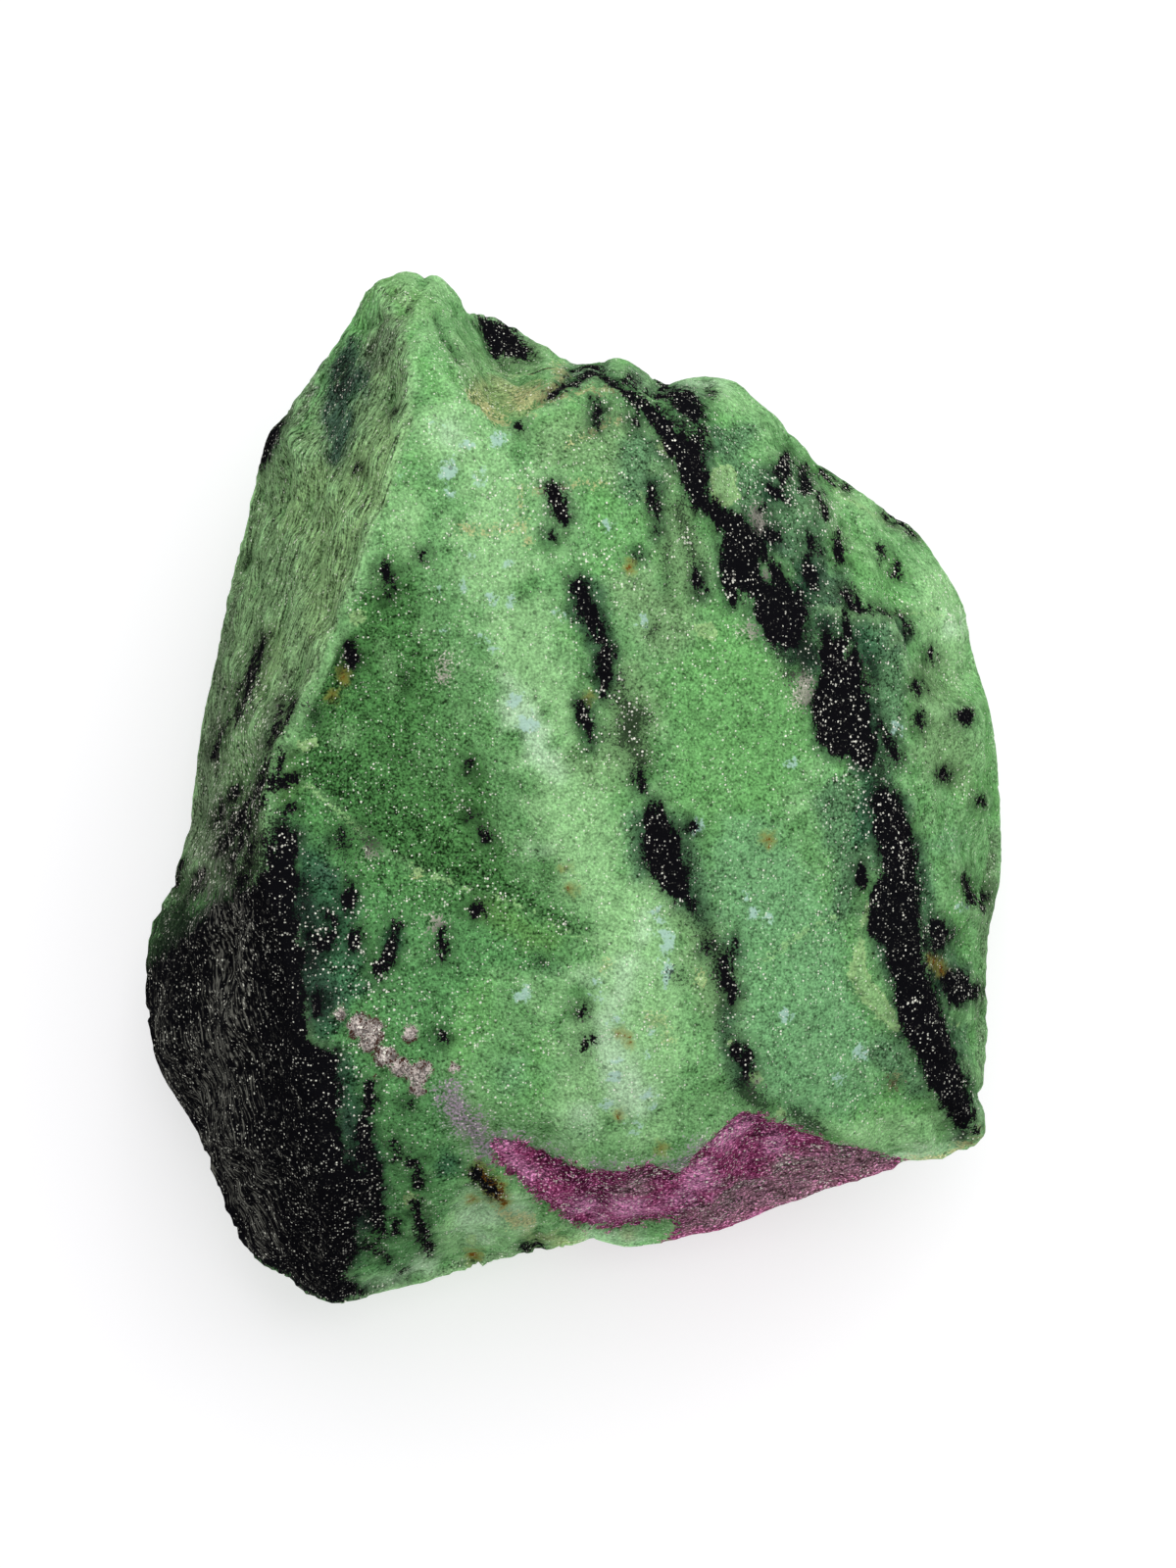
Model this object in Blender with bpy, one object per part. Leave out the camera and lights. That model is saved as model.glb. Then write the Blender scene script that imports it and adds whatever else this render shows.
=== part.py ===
"""A rough piece of ruby in zoisite, as one solid stone lying on its own broken base.

The stone is a blunt wedge. A steep striated flank climbs from the left outline to a long ridge, and the
broad face falls from that ridge to the right. Its surface is a net of named heights, drawn in plan and
joined along the ridges, hollows and ledges that give the stone its form. The net is remeshed, worn
round, worked over with flake scars and grain, and cut flat where the stone rests.

Metres, +Z up, +Y along the stone. The origin is the middle of the footprint, on the ground.
"""

import math

import bmesh
import bpy
from mathutils import Vector, noise
from mathutils.geometry import delaunay_2d_cdt

MM = 0.001

# Overall size of the finished stone. The net below is drawn for it in millimetres, and fitted to it at the end.
STONE_LENGTH = 60 * MM
STONE_WIDTH = 50 * MM
STONE_HEIGHT = 35 * MM

# Greatest outline in plan, clockwise from the tip: x, y and height above the ground, in millimetres.
OUTLINE = [
    (-10.3, 29.4, 18), (-9.2, 29.8, 19), (-8.4, 29.1, 19), (-7.5, 29.1, 18), (-6.6, 28.0, 16),  # two-lobed tip
    (-4.6, 27.5, 11), (-2.6, 26.2, 9), (-0.3, 24.5, 10),  # back of the gully
    (1.0, 24.1, 13), (2.7, 24.5, 15), (4.0, 23.7, 15), (5.0, 22.6, 14),  # small lump
    (6.6, 23.1, 15), (8.6, 23.2, 15), (10.7, 22.2, 15), (12.6, 20.3, 14), (14.0, 18.8, 12),  # large lump
    (16.0, 17.5, 11), (18.6, 16.2, 10), (20.8, 14.6, 9), (22.1, 12.3, 9), (22.6, 9.4, 9),  # right shoulder
    (23.0, 6.7, 9), (24.2, 4.0, 9), (25.1, 0.2, 8), (25.1, -3.8, 8), (24.6, -6.2, 8),
    (23.9, -9.0, 9), (23.8, -14.7, 10), (23.6, -17.6, 11), (24.1, -19.7, 12), (23.2, -21.2, 12),  # corner
    (20.9, -21.8, 12), (18.9, -22.2, 10), (15.1, -23.1, 8), (11.7, -24.4, 7), (8.9, -25.6, 6),  # ruby side
    (6.0, -26.4, 6), (2.9, -27.0, 6), (1.1, -26.9, 6), (-2.0, -27.7, 6), (-6.0, -28.7, 6),
    (-9.4, -29.1, 7), (-12.6, -30.0, 8), (-14.4, -29.8, 8), (-16.1, -28.9, 8), (-17.9, -27.4, 8),  # foot
    (-19.2, -26.0, 8), (-20.2, -23.7, 7), (-21.4, -20.7, 7), (-23.0, -17.8, 6), (-24.5, -15.2, 6),
    (-25.0, -11.6, 6), (-24.7, -8.7, 6), (-23.1, -4.7, 6), (-21.8, -1.8, 7), (-21.3, 2.5, 7),  # flank
    (-20.3, 6.7, 7), (-19.3, 11.0, 7), (-18.8, 15.3, 8), (-18.5, 17.9, 8), (-16.7, 20.8, 9),
    (-14.2, 23.8, 11), (-12.8, 26.5, 13), (-12.0, 28.1, 16),
]

# Lines of the upper surface, each kept as a run of edges: x, y and height, in millimetres.
RIDGE = [
    (-8.2, 28.4, 22.5), (-8.6, 26.7, 26.5), (-8.8, 24.6, 30), (-8.9, 21.9, 32.5), (-9.6, 18.5, 33.8),
    (-10.6, 15.0, 34.2), (-12.1, 11.0, 34.2), (-13.8, 7.0, 34.0), (-15.4, 3.9, 33.6), (-17.0, 1.6, 33.1),
    (-17.7, -2.1, 32.4), (-17.0, -5.5, 31.8), (-16.3, -9.5, 31.3), (-15.6, -14.1, 30.2), (-14.8, -18.7, 28),
    (-14.1, -22.7, 25), (-13.7, -26.1, 20.5), (-13.5, -28.4, 14.5),
]
CREST = [
    (-7.8, 19.6, 34.2), (-7.0, 15.6, 34.5), (-6.0, 11.6, 34.1), (-4.3, 6.4, 33.1), (-2.4, 0.8, 31.9),
    (-0.4, -4.0, 31.0), (1.6, -8.2, 30.5), (2.9, -12.0, 30.3), (3.3, -15.8, 29.2), (3.0, -19.3, 27.0),
]
SCOOP_RIM = [
    (-16.2, 1.1, 33.0), (-14.4, -0.2, 32.3), (-12.6, -2.2, 31.5), (-10.4, -4.1, 31.0), (-6.2, -5.9, 30.5),
    (-2.4, -7.2, 30.2), (0.9, -8.9, 30.2),
]
SCOOP_FOOT = [(-13.9, 0.6, 31.8), (-12.0, -1.4, 30.9), (-9.9, -3.3, 30.4), (-5.8, -5.0, 29.8), (-2.0, -6.3, 29.5)]
SCOOP_FLOOR = [(-12.8, 9.0, 33.1), (-12.0, 4.6, 31.9), (-10.3, 0.6, 30.9), (-6.5, -2.7, 30.1)]
TIP_GROOVE = [(-8.7, 28.6, 21.0), (-10.0, 27.7, 21.5), (-11.0, 27.1, 20.5)]
TOP_EDGE = [(-6.0, 22.3, 32.6), (-3.9, 20.9, 31.6), (-1.8, 21.9, 29.8), (0.9, 23.1, 27.6), (3.6, 22.9, 26), (5.4, 21.9, 25.6)]
GULLY = [(-5.4, 24.6, 23.5), (-4.2, 22.9, 24.5), (-2.9, 22.5, 24.5), (-1.2, 22.9, 23.0), (0.4, 23.8, 20.5)]
BAND_LINE = [
    (6.6, 19.0, 27.6), (8.9, 15.0, 27.9), (11.7, 11.0, 26.9), (15.1, 5.9, 25.5), (17.0, 2.0, 24.7),
    (18.6, -2.7, 23.5), (19.7, -8.4, 22.4), (20.9, -13.5, 20.5), (22.4, -18.0, 17.2),
]
LOWER_EDGE = [
    (0.9, -21.5, 25.4), (3.4, -22.0, 24.6), (6.2, -21.4, 24.8), (9.7, -18.8, 25.4), (12.9, -19.4, 23.2),
    (16.3, -20.7, 19.6), (19.7, -21.2, 15.6),
]
LENS_EDGE = [(15.7, 10.3, 24.2), (18.4, 10.1, 21.6), (21.2, 10.2, 17.2)]
SURFACE_LINES = [
    RIDGE, CREST, SCOOP_RIM, SCOOP_FOOT, SCOOP_FLOOR, TOP_EDGE, GULLY, BAND_LINE, LOWER_EDGE, LENS_EDGE, TIP_GROOVE,
]

# Single heights between those lines, region by region.
FLANK = [
    (-10.3, 28.5, 20.5), (-11.6, 25.8, 22.5), (-13.6, 23.4, 21.5), (-15.3, 19.6, 21.5), (-14.4, 14.6, 26.5), (-17.2, 12.4, 20),
    (-18.6, 7.0, 19.5), (-19.6, 1.6, 19), (-20.5, -3.8, 19.5), (-21.2, -8.8, 20), (-20.9, -14.4, 19.5),
    (-19.2, -19.8, 19), (-17.4, -24.4, 16),
]
TIP_SLOPE = [(-6.9, 27.4, 21.5), (-6.4, 25.0, 26.5), (-3.4, 25.2, 15.5), (-1.2, 24.4, 15.5)]
LOWER_FACE = [
    (-14.2, -4.8, 31.3), (-10.6, -8.4, 30.4), (-6.0, -11.3, 29.9), (-1.4, -13.0, 29.4), (-10.6, -15.8, 28.9),
    (-6.0, -18.1, 27.9), (-1.4, -18.7, 27.6), (-10.5, -21.6, 25.4), (-6.0, -22.7, 23.0), (-8.9, -26.1, 17.5),
    (-3.7, -25.0, 15.5),
]
RUBY_FACE = [(-1.2, -23.0, 20.2), (2.0, -24.4, 15.0), (6.6, -24.1, 14.5), (11.0, -22.2, 16.5), (15.0, -21.8, 13.5)]
MIDDLE_FACE = [
    (2.0, 17.3, 31.6), (3.2, 11.6, 31.4), (4.3, 5.9, 30.6), (6.0, 0.2, 29.7), (7.4, -5.5, 28.9), (8.9, -11.2, 28.1),
    (9.7, -15.6, 27.2), (12.3, 6.2, 28.2), (13.4, 0.2, 27.3), (14.6, -5.5, 26.4), (15.1, -11.2, 25.2),
    (15.7, -15.8, 23.4),
]
RIGHT_FACE = [
    (8.9, 21.6, 22.5), (11.7, 19.9, 21.6), (10.0, 18.8, 23.6), (13.0, 17.4, 22.4), (15.6, 14.0, 21.6),
    (18.3, 12.8, 18.6), (21.2, 12.3, 14.6), (22.0, 8.4, 15.8), (22.9, 3.6, 16.0), (23.4, -1.5, 14.8),
    (23.2, -7.3, 15.6), (22.9, -12.6, 16.0), (23.0, -16.4, 15.2), (19.7, 4.6, 21.4), (20.9, -1.2, 19.8), (21.6, -6.0, 19.0),
]
REGIONS = [FLANK, TIP_SLOPE, LOWER_FACE, RUBY_FACE, MIDDLE_FACE, RIGHT_FACE]

# Underside: a ring of heights under the overhang, and the patch that is cut off flat at the ground.
UNDERCUT = [
    (-8.0, 22.5, 8.0), (3.0, 19.5, 6.5), (11.5, 16.0, 4.0), (18.5, 9.5, 5.0), (21.0, 0.0, 3.0),
    (19.5, -9.0, 3.6), (16.5, -17.5, 6.0), (7.0, -22.0, 3.5), (-2.0, -23.5, 2.2), (-11.5, -25.5, 4.0),
    (-18.5, -20.5, 4.2), (-21.0, -11.0, 2.2), (-19.5, -2.5, 3.4), (-18.5, 7.0, 4.0), (-15.5, 17.0, 5.0),
]
FOOT = [
    (-9.5, 13.0), (-1.0, 15.0), (7.5, 11.5), (12.5, 4.5), (14.5, -4.5), (11.0, -12.5), (3.0, -17.0),
    (-6.0, -18.5), (-13.0, -15.5), (-15.5, -7.0), (-14.0, 4.0),
]
FOOT_DEPTH = -1.8  # how far the foot is modelled below the ground before it is cut flat, in millimetres

# Scars of struck flakes, as shallow bowls: centre, radius and depth, in millimetres.
FLAKE_SCARS = [
    ((17.2, 12.6, 21.0), 4.6, 0.55), ((-1.0, 14.5, 34.0), 4.2, 0.35), ((9.6, 3.4, 29.2), 5.0, 0.30),
    ((-13.5, 23.2, 22.0), 4.4, 0.70), ((-21.0, 14.5, 12.0), 5.0, 0.60), ((24.5, 0.5, 11.0), 5.5, 0.70),
    ((4.0, 24.0, 8.0), 6.0, 1.00), ((20.0, -20.5, 8.0), 5.0, 0.80), ((-3.0, -26.5, 6.0), 6.0, 0.90),
    ((-24.0, -12.0, 4.0), 6.0, 0.80), ((17.5, 14.5, 6.0), 7.0, 1.00), ((-16.0, 20.0, 5.0), 5.5, 0.90),
]

NET_CELL = 0.5 * MM  # cell of the even mesh that the net is turned into
EDGE_WEAR_PASSES = 4  # smoothing passes that round the broken edges, once before and once after the working
SWELL = (9.0, 0.45)  # wave length and height of the broad unevenness, in millimetres
LUMPS = (4.0, 0.30)
GRAIN = (1.8, 0.07)
FACE_SHARE = 0.75  # the broad face is this much as uneven as the sides
STRIAE_RUN = Vector((-0.10, -0.87, -0.48))  # direction that the flank's striae run in
STRIAE_PITCH = 2.2  # their spacing across that run, in millimetres
STRIAE_STRETCH = 9.0  # how many times longer than wide they are
STRIAE_DEPTH = 0.45
CHIP_SIZE = 7.5  # breadth of the shallow bowls that broken flakes left on the sides and underneath, in millimetres
CHIP_DEPTH = 0.85
NOISE_ORIGIN = Vector((3.7, 11.3, 5.9))  # fixes the random field, so each build is the same stone
MOST_TRIANGLES = 9000

ZOISITE_GREEN = (0.16, 0.36, 0.14, 1.0)
STONE_ROUGHNESS = 0.55


def clear_scene():
    for item in list(bpy.data.objects):
        bpy.data.objects.remove(item, do_unlink=True)


def cap_faces(points, lines):
    """Triangles of the points in plan, inside the outline, keeping each line's edges."""
    edges = []
    for line in lines:
        runs = [points.index(point) for point in line]
        edges += list(zip(runs, runs[1:]))
    plan = [Vector(point[:2]) for point in points]
    border = list(range(len(OUTLINE)))
    inside_border = 1
    made = delaunay_2d_cdt(plan, edges, [border], inside_border, 1e-6)
    verts, _, faces, sources = made[:4]
    if len(verts) != len(points):
        raise ValueError("two lines of the net cross in plan")
    return [[sources[corner][0] for corner in face] for face in faces]


def add_cap(bm, rim, inner, lines, facing_up):
    """Adds a cap between the shared rim and its own inner points."""
    corners = rim + [bm.verts.new(Vector(point) * MM) for point in inner]
    for face in cap_faces(OUTLINE + inner, lines):
        facing = [corners[i] for i in face]
        a, b, c = (vert.co for vert in facing)
        if ((b - a).cross(c - a).z > 0) != facing_up:
            facing.reverse()
        bm.faces.new(facing)


def surface_net():
    """The closed net of heights: an upper and a lower cap that share the outline."""
    bm = bmesh.new()
    rim = [bm.verts.new(Vector(point) * MM) for point in OUTLINE]
    upper = [point for line in SURFACE_LINES + REGIONS for point in line]
    foot = [(x, y, FOOT_DEPTH) for x, y in FOOT]
    add_cap(bm, rim, upper, SURFACE_LINES, facing_up=True)
    add_cap(bm, rim, UNDERCUT + foot, [foot + foot[:1]], facing_up=False)
    bmesh.ops.recalc_face_normals(bm, faces=bm.faces)
    mesh = bpy.data.meshes.new("ruby_in_zoisite")
    bm.to_mesh(mesh)
    bm.free()
    stone = bpy.data.objects.new("ruby_in_zoisite", mesh)
    bpy.context.scene.collection.objects.link(stone)
    return stone


def apply_modifiers(stone):
    """Turns the evaluated shape into the stone's own mesh."""
    graph = bpy.context.evaluated_depsgraph_get()
    made = bpy.data.meshes.new_from_object(stone.evaluated_get(graph))
    stone.modifiers.clear()
    stone.data = made


def even_mesh(stone):
    cells = stone.modifiers.new("even mesh", "REMESH")
    cells.mode = "VOXEL"
    cells.voxel_size = NET_CELL
    apply_modifiers(stone)


def wear_edges(stone):
    wear = stone.modifiers.new("worn edges", "SMOOTH")
    wear.factor = 0.5
    wear.iterations = EDGE_WEAR_PASSES
    apply_modifiers(stone)


def unevenness(place, normal):
    """Height of the natural unevenness at a place given in millimetres, less on the broad upper face."""
    height = 0.0
    for wave_length, amplitude in (SWELL, LUMPS, GRAIN):
        height += amplitude * noise.noise(place / wave_length + NOISE_ORIGIN)
    facing_up = min(1.0, max(0.0, normal.z - 0.5) / 0.3)
    return height * (1.0 + (FACE_SHARE - 1.0) * facing_up)


def striae(place, normal):
    """Fine ribs that run along and down the flank, fading out where the stone turns up or to the right."""
    on_flank = min(1.0, max(0.0, -normal.x - 0.35) / 0.3)
    along = place.dot(STRIAE_RUN)
    squeezed = place - STRIAE_RUN * along * (1.0 - 1.0 / STRIAE_STRETCH)
    return STRIAE_DEPTH * on_flank * noise.noise(squeezed / STRIAE_PITCH)


def chip_depth(place, normal):
    """Depth of the bowls on the broken sides and underside, none on the broad face or along the outline."""
    off_outline = min(1.0, abs(normal.z) / 0.3)
    broken = min(1.0, max(0.0, 0.62 - normal.z) / 0.2)
    nearest, second = noise.voronoi(place / CHIP_SIZE + NOISE_ORIGIN)[0][:2]
    inside = min(1.0, (second - nearest) / 0.6)
    return CHIP_DEPTH * off_outline * broken * (1.0 - (1.0 - inside) ** 2)


def scar_depth(place):
    """Depth of the flake scars at a place given in millimetres."""
    depth = 0.0
    for centre, radius, deepest in FLAKE_SCARS:
        reach = (place - Vector(centre)).length / radius
        if reach < 1.0:
            depth += deepest * math.cos(reach * math.pi / 2) ** 0.6
    return depth


def work_surface(stone):
    """Moves each point along its normal: lumps and grain, striae, and the scars of struck flakes."""
    moves = []
    for vert in stone.data.vertices:
        place = vert.co / MM
        height = unevenness(place, vert.normal) + striae(place, vert.normal)
        height -= scar_depth(place) + chip_depth(place, vert.normal)
        moves.append(vert.co + vert.normal * height * MM)
    for vert, moved in zip(stone.data.vertices, moves):
        vert.co = moved


def cut_base(bm):
    """Cuts the stone off flat at the ground, which leaves the face that it rests on."""
    everything = bm.verts[:] + bm.edges[:] + bm.faces[:]
    cut = bmesh.ops.bisect_plane(
        bm, geom=everything, dist=1e-7, plane_co=(0, 0, 0), plane_no=(0, 0, 1), clear_inner=True
    )
    rim = [item for item in cut["geom_cut"] if isinstance(item, bmesh.types.BMEdge)]
    bmesh.ops.holes_fill(bm, edges=rim, sides=0)


def fit_to_size(bm):
    """Brings the stone to its overall size, with its footprint centred on the origin."""
    low, high = [Vector(map(pick, zip(*(v.co for v in bm.verts)))) for pick in (min, max)]
    centre = Vector(((low.x + high.x) / 2, (low.y + high.y) / 2, 0))
    size = high - low
    bmesh.ops.translate(bm, verts=bm.verts, vec=-centre)
    bmesh.ops.scale(
        bm, verts=bm.verts, vec=(STONE_WIDTH / size.x, STONE_LENGTH / size.y, STONE_HEIGHT / high.z)
    )


def finish_shape(stone):
    """Thins the mesh, keeping the ridges, then cuts the base and fits the size."""
    thin = stone.modifiers.new("thinned mesh", "DECIMATE")
    triangles = sum(len(face.vertices) - 2 for face in stone.data.polygons)
    thin.ratio = MOST_TRIANGLES / triangles
    apply_modifiers(stone)
    bm = bmesh.new()
    bm.from_mesh(stone.data)
    cut_base(bm)
    fit_to_size(bm)
    bmesh.ops.triangulate(bm, faces=bm.faces)
    bm.to_mesh(stone.data)
    bm.free()


def zoisite_material():
    material = bpy.data.materials.new("zoisite")
    material.use_nodes = True
    shader = material.node_tree.nodes["Principled BSDF"]
    shader.inputs["Base Color"].default_value = ZOISITE_GREEN
    shader.inputs["Roughness"].default_value = STONE_ROUGHNESS
    shader.inputs["Metallic"].default_value = 0.0
    return material


def build_stone():
    stone = surface_net()
    even_mesh(stone)
    wear_edges(stone)
    work_surface(stone)
    wear_edges(stone)
    finish_shape(stone)
    stone.data.materials.clear()
    stone.data.materials.append(zoisite_material())
    stone.data.shade_smooth()


clear_scene()
build_stone()
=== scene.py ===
"""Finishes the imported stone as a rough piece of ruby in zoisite, on a pale floor in soft light.

The stone's fine shape is worked on a merged and remeshed copy of its solid. Its minerals are drawn on a
plan, seen from above, and laid on the surface as distances to each mark. The material gives them
grainy edges.
"""

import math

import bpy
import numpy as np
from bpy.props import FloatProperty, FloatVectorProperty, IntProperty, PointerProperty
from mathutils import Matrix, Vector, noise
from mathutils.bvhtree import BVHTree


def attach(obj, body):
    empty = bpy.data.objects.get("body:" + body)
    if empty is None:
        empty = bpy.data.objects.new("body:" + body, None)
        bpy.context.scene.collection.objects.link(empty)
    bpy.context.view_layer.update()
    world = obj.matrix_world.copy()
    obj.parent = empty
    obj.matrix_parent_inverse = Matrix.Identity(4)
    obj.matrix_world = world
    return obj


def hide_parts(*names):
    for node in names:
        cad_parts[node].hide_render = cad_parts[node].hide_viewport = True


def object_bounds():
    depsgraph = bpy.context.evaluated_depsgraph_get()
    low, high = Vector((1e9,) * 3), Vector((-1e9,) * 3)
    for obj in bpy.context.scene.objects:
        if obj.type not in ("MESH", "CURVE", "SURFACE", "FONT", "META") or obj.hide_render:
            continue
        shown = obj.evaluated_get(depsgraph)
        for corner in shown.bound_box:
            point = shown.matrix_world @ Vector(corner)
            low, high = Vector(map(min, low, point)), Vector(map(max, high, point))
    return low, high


bl_info = {
    "name": "Ruby in zoisite",
    "version": (1, 0, 0),
    "blender": (4, 5, 0),
    "location": "View3D > Sidebar > Stone",
    "description": "Makes a rough piece of ruby in zoisite and the studio it lies in",
    "category": "Add Mesh",
}

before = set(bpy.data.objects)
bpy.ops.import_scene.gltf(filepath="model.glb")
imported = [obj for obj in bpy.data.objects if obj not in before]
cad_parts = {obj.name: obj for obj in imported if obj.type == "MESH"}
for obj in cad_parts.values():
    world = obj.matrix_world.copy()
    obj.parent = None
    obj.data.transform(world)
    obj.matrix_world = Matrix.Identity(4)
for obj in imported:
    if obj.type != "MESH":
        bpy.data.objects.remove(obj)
CAD_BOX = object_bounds()

NODE = "ruby_in_zoisite"
BODY = "root"
MM = 0.001
FLOOR_GAP = 0.02 * MM  # the floor is this far under the stone, so that the two surfaces don't coincide
TINY = 1e-9  # keeps a run of no length from a division by 0
FULL_TURN = 2 * np.pi

# The plan that the marks are drawn on: x to the right and y downwards, in plan units.
PLAN_SCALE = 17.5  # plan units to a millimetre, at the plan's height
PLAN_ORIGIN = (585, 806)  # where the stone's own origin lies on it
PLAN_MIDDLE = (600, 800)
PLAN_SIZE = (1200, 1600)
PLAN_HEIGHT = 10.0  # millimetres above the ground
EYE_HEIGHT = 1200.0  # the plan is seen from this far above the ground, in millimetres
EYE = Vector((
    (PLAN_MIDDLE[0] - PLAN_ORIGIN[0]) / PLAN_SCALE,
    (PLAN_ORIGIN[1] - PLAN_MIDDLE[1]) / PLAN_SCALE,
    EYE_HEIGHT,
))
FAR = 6.0  # distances to a mark are worked out up to this many millimetres
HIDDEN_FROM = 0.6  # a place this many millimetres behind the surface that the plan shows is hidden
LEAN = (0.34, -0.22)  # how far the marks lean to the right and up for each millimetre down through the stone
WANDER = 0.5  # how far they stray, for each millimetre down
MOST_WANDER = 6.0
WANDER_SIZE = 9.0
WANDER_SHIFTS = (3.1, 7.7)

# Black hornblende on the plan. A stroke is a run of (x, y, full width).
MAIN_BAND = [
    [(560, 402, 5), (572, 396, 8), (585, 388, 9), (600, 382, 8), (612, 382, 9), (620, 388, 9),
     (630, 397, 10), (642, 405, 10), (652, 414, 10), (658, 421, 8)],
    [(658, 421, 8), (668, 427, 14), (678, 438, 20), (688, 455, 24), (702, 450, 20)],
    [(660, 401, 4), (672, 402, 6), (688, 404, 16), (700, 412, 24), (706, 422, 20)],
    [(706, 422, 14), (712, 430, 6), (716, 450, 6), (720, 457, 5)],
    [(690, 452, 22), (702, 450, 25), (704, 470, 28), (708, 490, 24), (710, 500, 20), (714, 510, 18),
     (720, 517, 14), (731, 525, 16), (750, 540, 26), (758, 560, 44), (758, 580, 44), (766, 594, 26),
     (787, 604, 36), (795, 620, 54), (799, 636, 46), (804, 646, 30)],
    [(775, 620, 10), (783, 640, 14), (795, 652, 12), (801, 660, 8)], [(772, 565, 14), (780, 575, 10)],
    [(790, 586, 16)], [(742, 585, 12), (745, 600, 12), (748, 614, 6)],
    [(843, 655, 14), (848, 665, 26), (857, 680, 38), (859, 700, 44), (857, 720, 56), (860, 740, 60)],
    [(860, 740, 50), (872, 750, 36), (878, 760, 34), (880, 770, 20), (884, 780, 12)],
    [(899, 811, 14), (903, 822, 30), (907, 840, 30), (911, 850, 34), (914, 860, 34), (917, 870, 34),
     (919, 890, 34), (919, 903, 34), (914, 915, 46), (913, 922, 50), (912, 940, 52), (920, 950, 38),
     (922, 960, 36), (923, 980, 34), (931, 1000, 38), (935, 1020, 45), (939, 1040, 42), (949, 1060, 38),
     (958, 1080, 34), (967, 1100, 36), (975, 1120, 32), (983, 1140, 22), (990, 1152, 14)],
]
# The zoisite breaks through the black here.
BAND_GAPS = [
    [(299, 1317, 10), (320, 1327, 12), (345, 1331, 14), (375, 1325, 15), (400, 1317, 14)],
    [(256, 1284, 9), (276, 1297, 13), (291, 1304, 9)], [(696, 427, 8), (703, 440, 15)],
    [(990, 1152, 9), (997, 1142, 8)], [(776, 578, 6), (781, 588, 11), (785, 596, 5)],
    [(802, 592, 3), (812, 604, 4)], [(862, 652, 5), (863, 666, 8)],
]
NEAR_BAND = [
    [(861, 607, 6), (868, 617, 14), (876, 623, 8), (890, 624, 3), (905, 628, 3), (920, 629, 3)],
    [(860, 625, 5), (863, 645, 5), (867, 665, 6), (873, 685, 8)],
    [(898, 740, 4), (905, 755, 8), (912, 765, 11), (916, 775, 6)],
    [(877, 885, 7), (878, 895, 8), (880, 905, 4)],
]
RIGHT_SPOTS = [
    [(803, 466, 6), (800, 478, 16), (800, 487, 12), (788, 480, 6)],
    [(819, 478, 5), (822, 488, 8), (822, 500, 9)], [(834, 508, 4), (836, 516, 7), (839, 526, 5)],
    [(838, 484, 4), (843, 489, 7), (849, 494, 5)], [(862, 500, 6)],
    [(902, 524, 4), (918, 534, 5), (930, 545, 5)], [(786, 500, 5), (794, 505, 9), (800, 512, 6)],
    [(786, 548, 17)], [(779, 520, 8)], [(825, 545, 5), (829, 556, 8), (833, 565, 6)],
    [(852, 545, 3), (853, 556, 9), (854, 566, 9), (857, 575, 6)], [(898, 564, 6), (902, 574, 6)],
    [(910, 578, 6), (913, 587, 7)], [(821, 570, 5), (825, 584, 12), (829, 600, 8)],
    [(921, 630, 4), (924, 648, 5)], [(947, 662, 5), (950, 673, 7)], [(722, 398, 3), (725, 405, 4)],
    [(934, 697, 7), (938, 708, 6)], [(937, 728, 6), (938, 740, 7)], [(984, 730, 15)], [(962, 790, 10)],
    [(1000, 817, 9)], [(984, 893, 5), (988, 905, 8), (992, 918, 8)], [(1004, 912, 6), (1002, 925, 7)],
    [(956, 944, 14), (962, 952, 16), (954, 964, 14)], [(972, 1000, 22), (979, 1010, 28), (992, 1012, 16)],
]
# The broken line of black from the upper left to the middle of the face.
SECOND_LINE = [
    [(606, 412, 4), (610, 422, 8), (608, 435, 6)], [(642, 387, 6), (650, 390, 6)], [(648, 432, 9)],
    [(562, 500, 10), (567, 512, 12), (571, 524, 13), (575, 532, 10)], [(562, 548, 9)],
    [(588, 595, 8), (592, 605, 14), (597, 620, 20), (604, 635, 16), (608, 645, 15), (613, 652, 10),
     (620, 657, 10)], [(620, 665, 12), (616, 680, 12), (617, 695, 8), (617, 710, 5)],
    [(592, 718, 5), (595, 725, 12), (593, 733, 8), (599, 742, 7), (602, 755, 5)],
    [(650, 788, 4), (653, 800, 6), (655, 806, 4)],
    [(665, 818, 8), (667, 828, 16), (669, 838, 22), (672, 848, 30), (674, 860, 36), (675, 870, 37),
     (678, 880, 34), (683, 890, 31), (688, 900, 25), (693, 909, 16), (701, 916, 7), (707, 922, 10)],
    [(703, 843, 8)], [(723, 966, 10)], [(748, 960, 6), (746, 970, 9)],
    [(735, 978, 6), (738, 988, 11), (740, 1000, 10), (746, 1012, 8), (742, 1025, 4)],
    [(750, 1066, 10), (757, 1076, 14), (762, 1088, 11), (759, 1098, 4)],
    [(668, 500, 8), (666, 510, 10), (669, 520, 8), (671, 535, 4), (671, 545, 3)],
    [(710, 583, 4), (712, 593, 9), (715, 603, 6)], [(648, 568, 4)],
]
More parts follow.
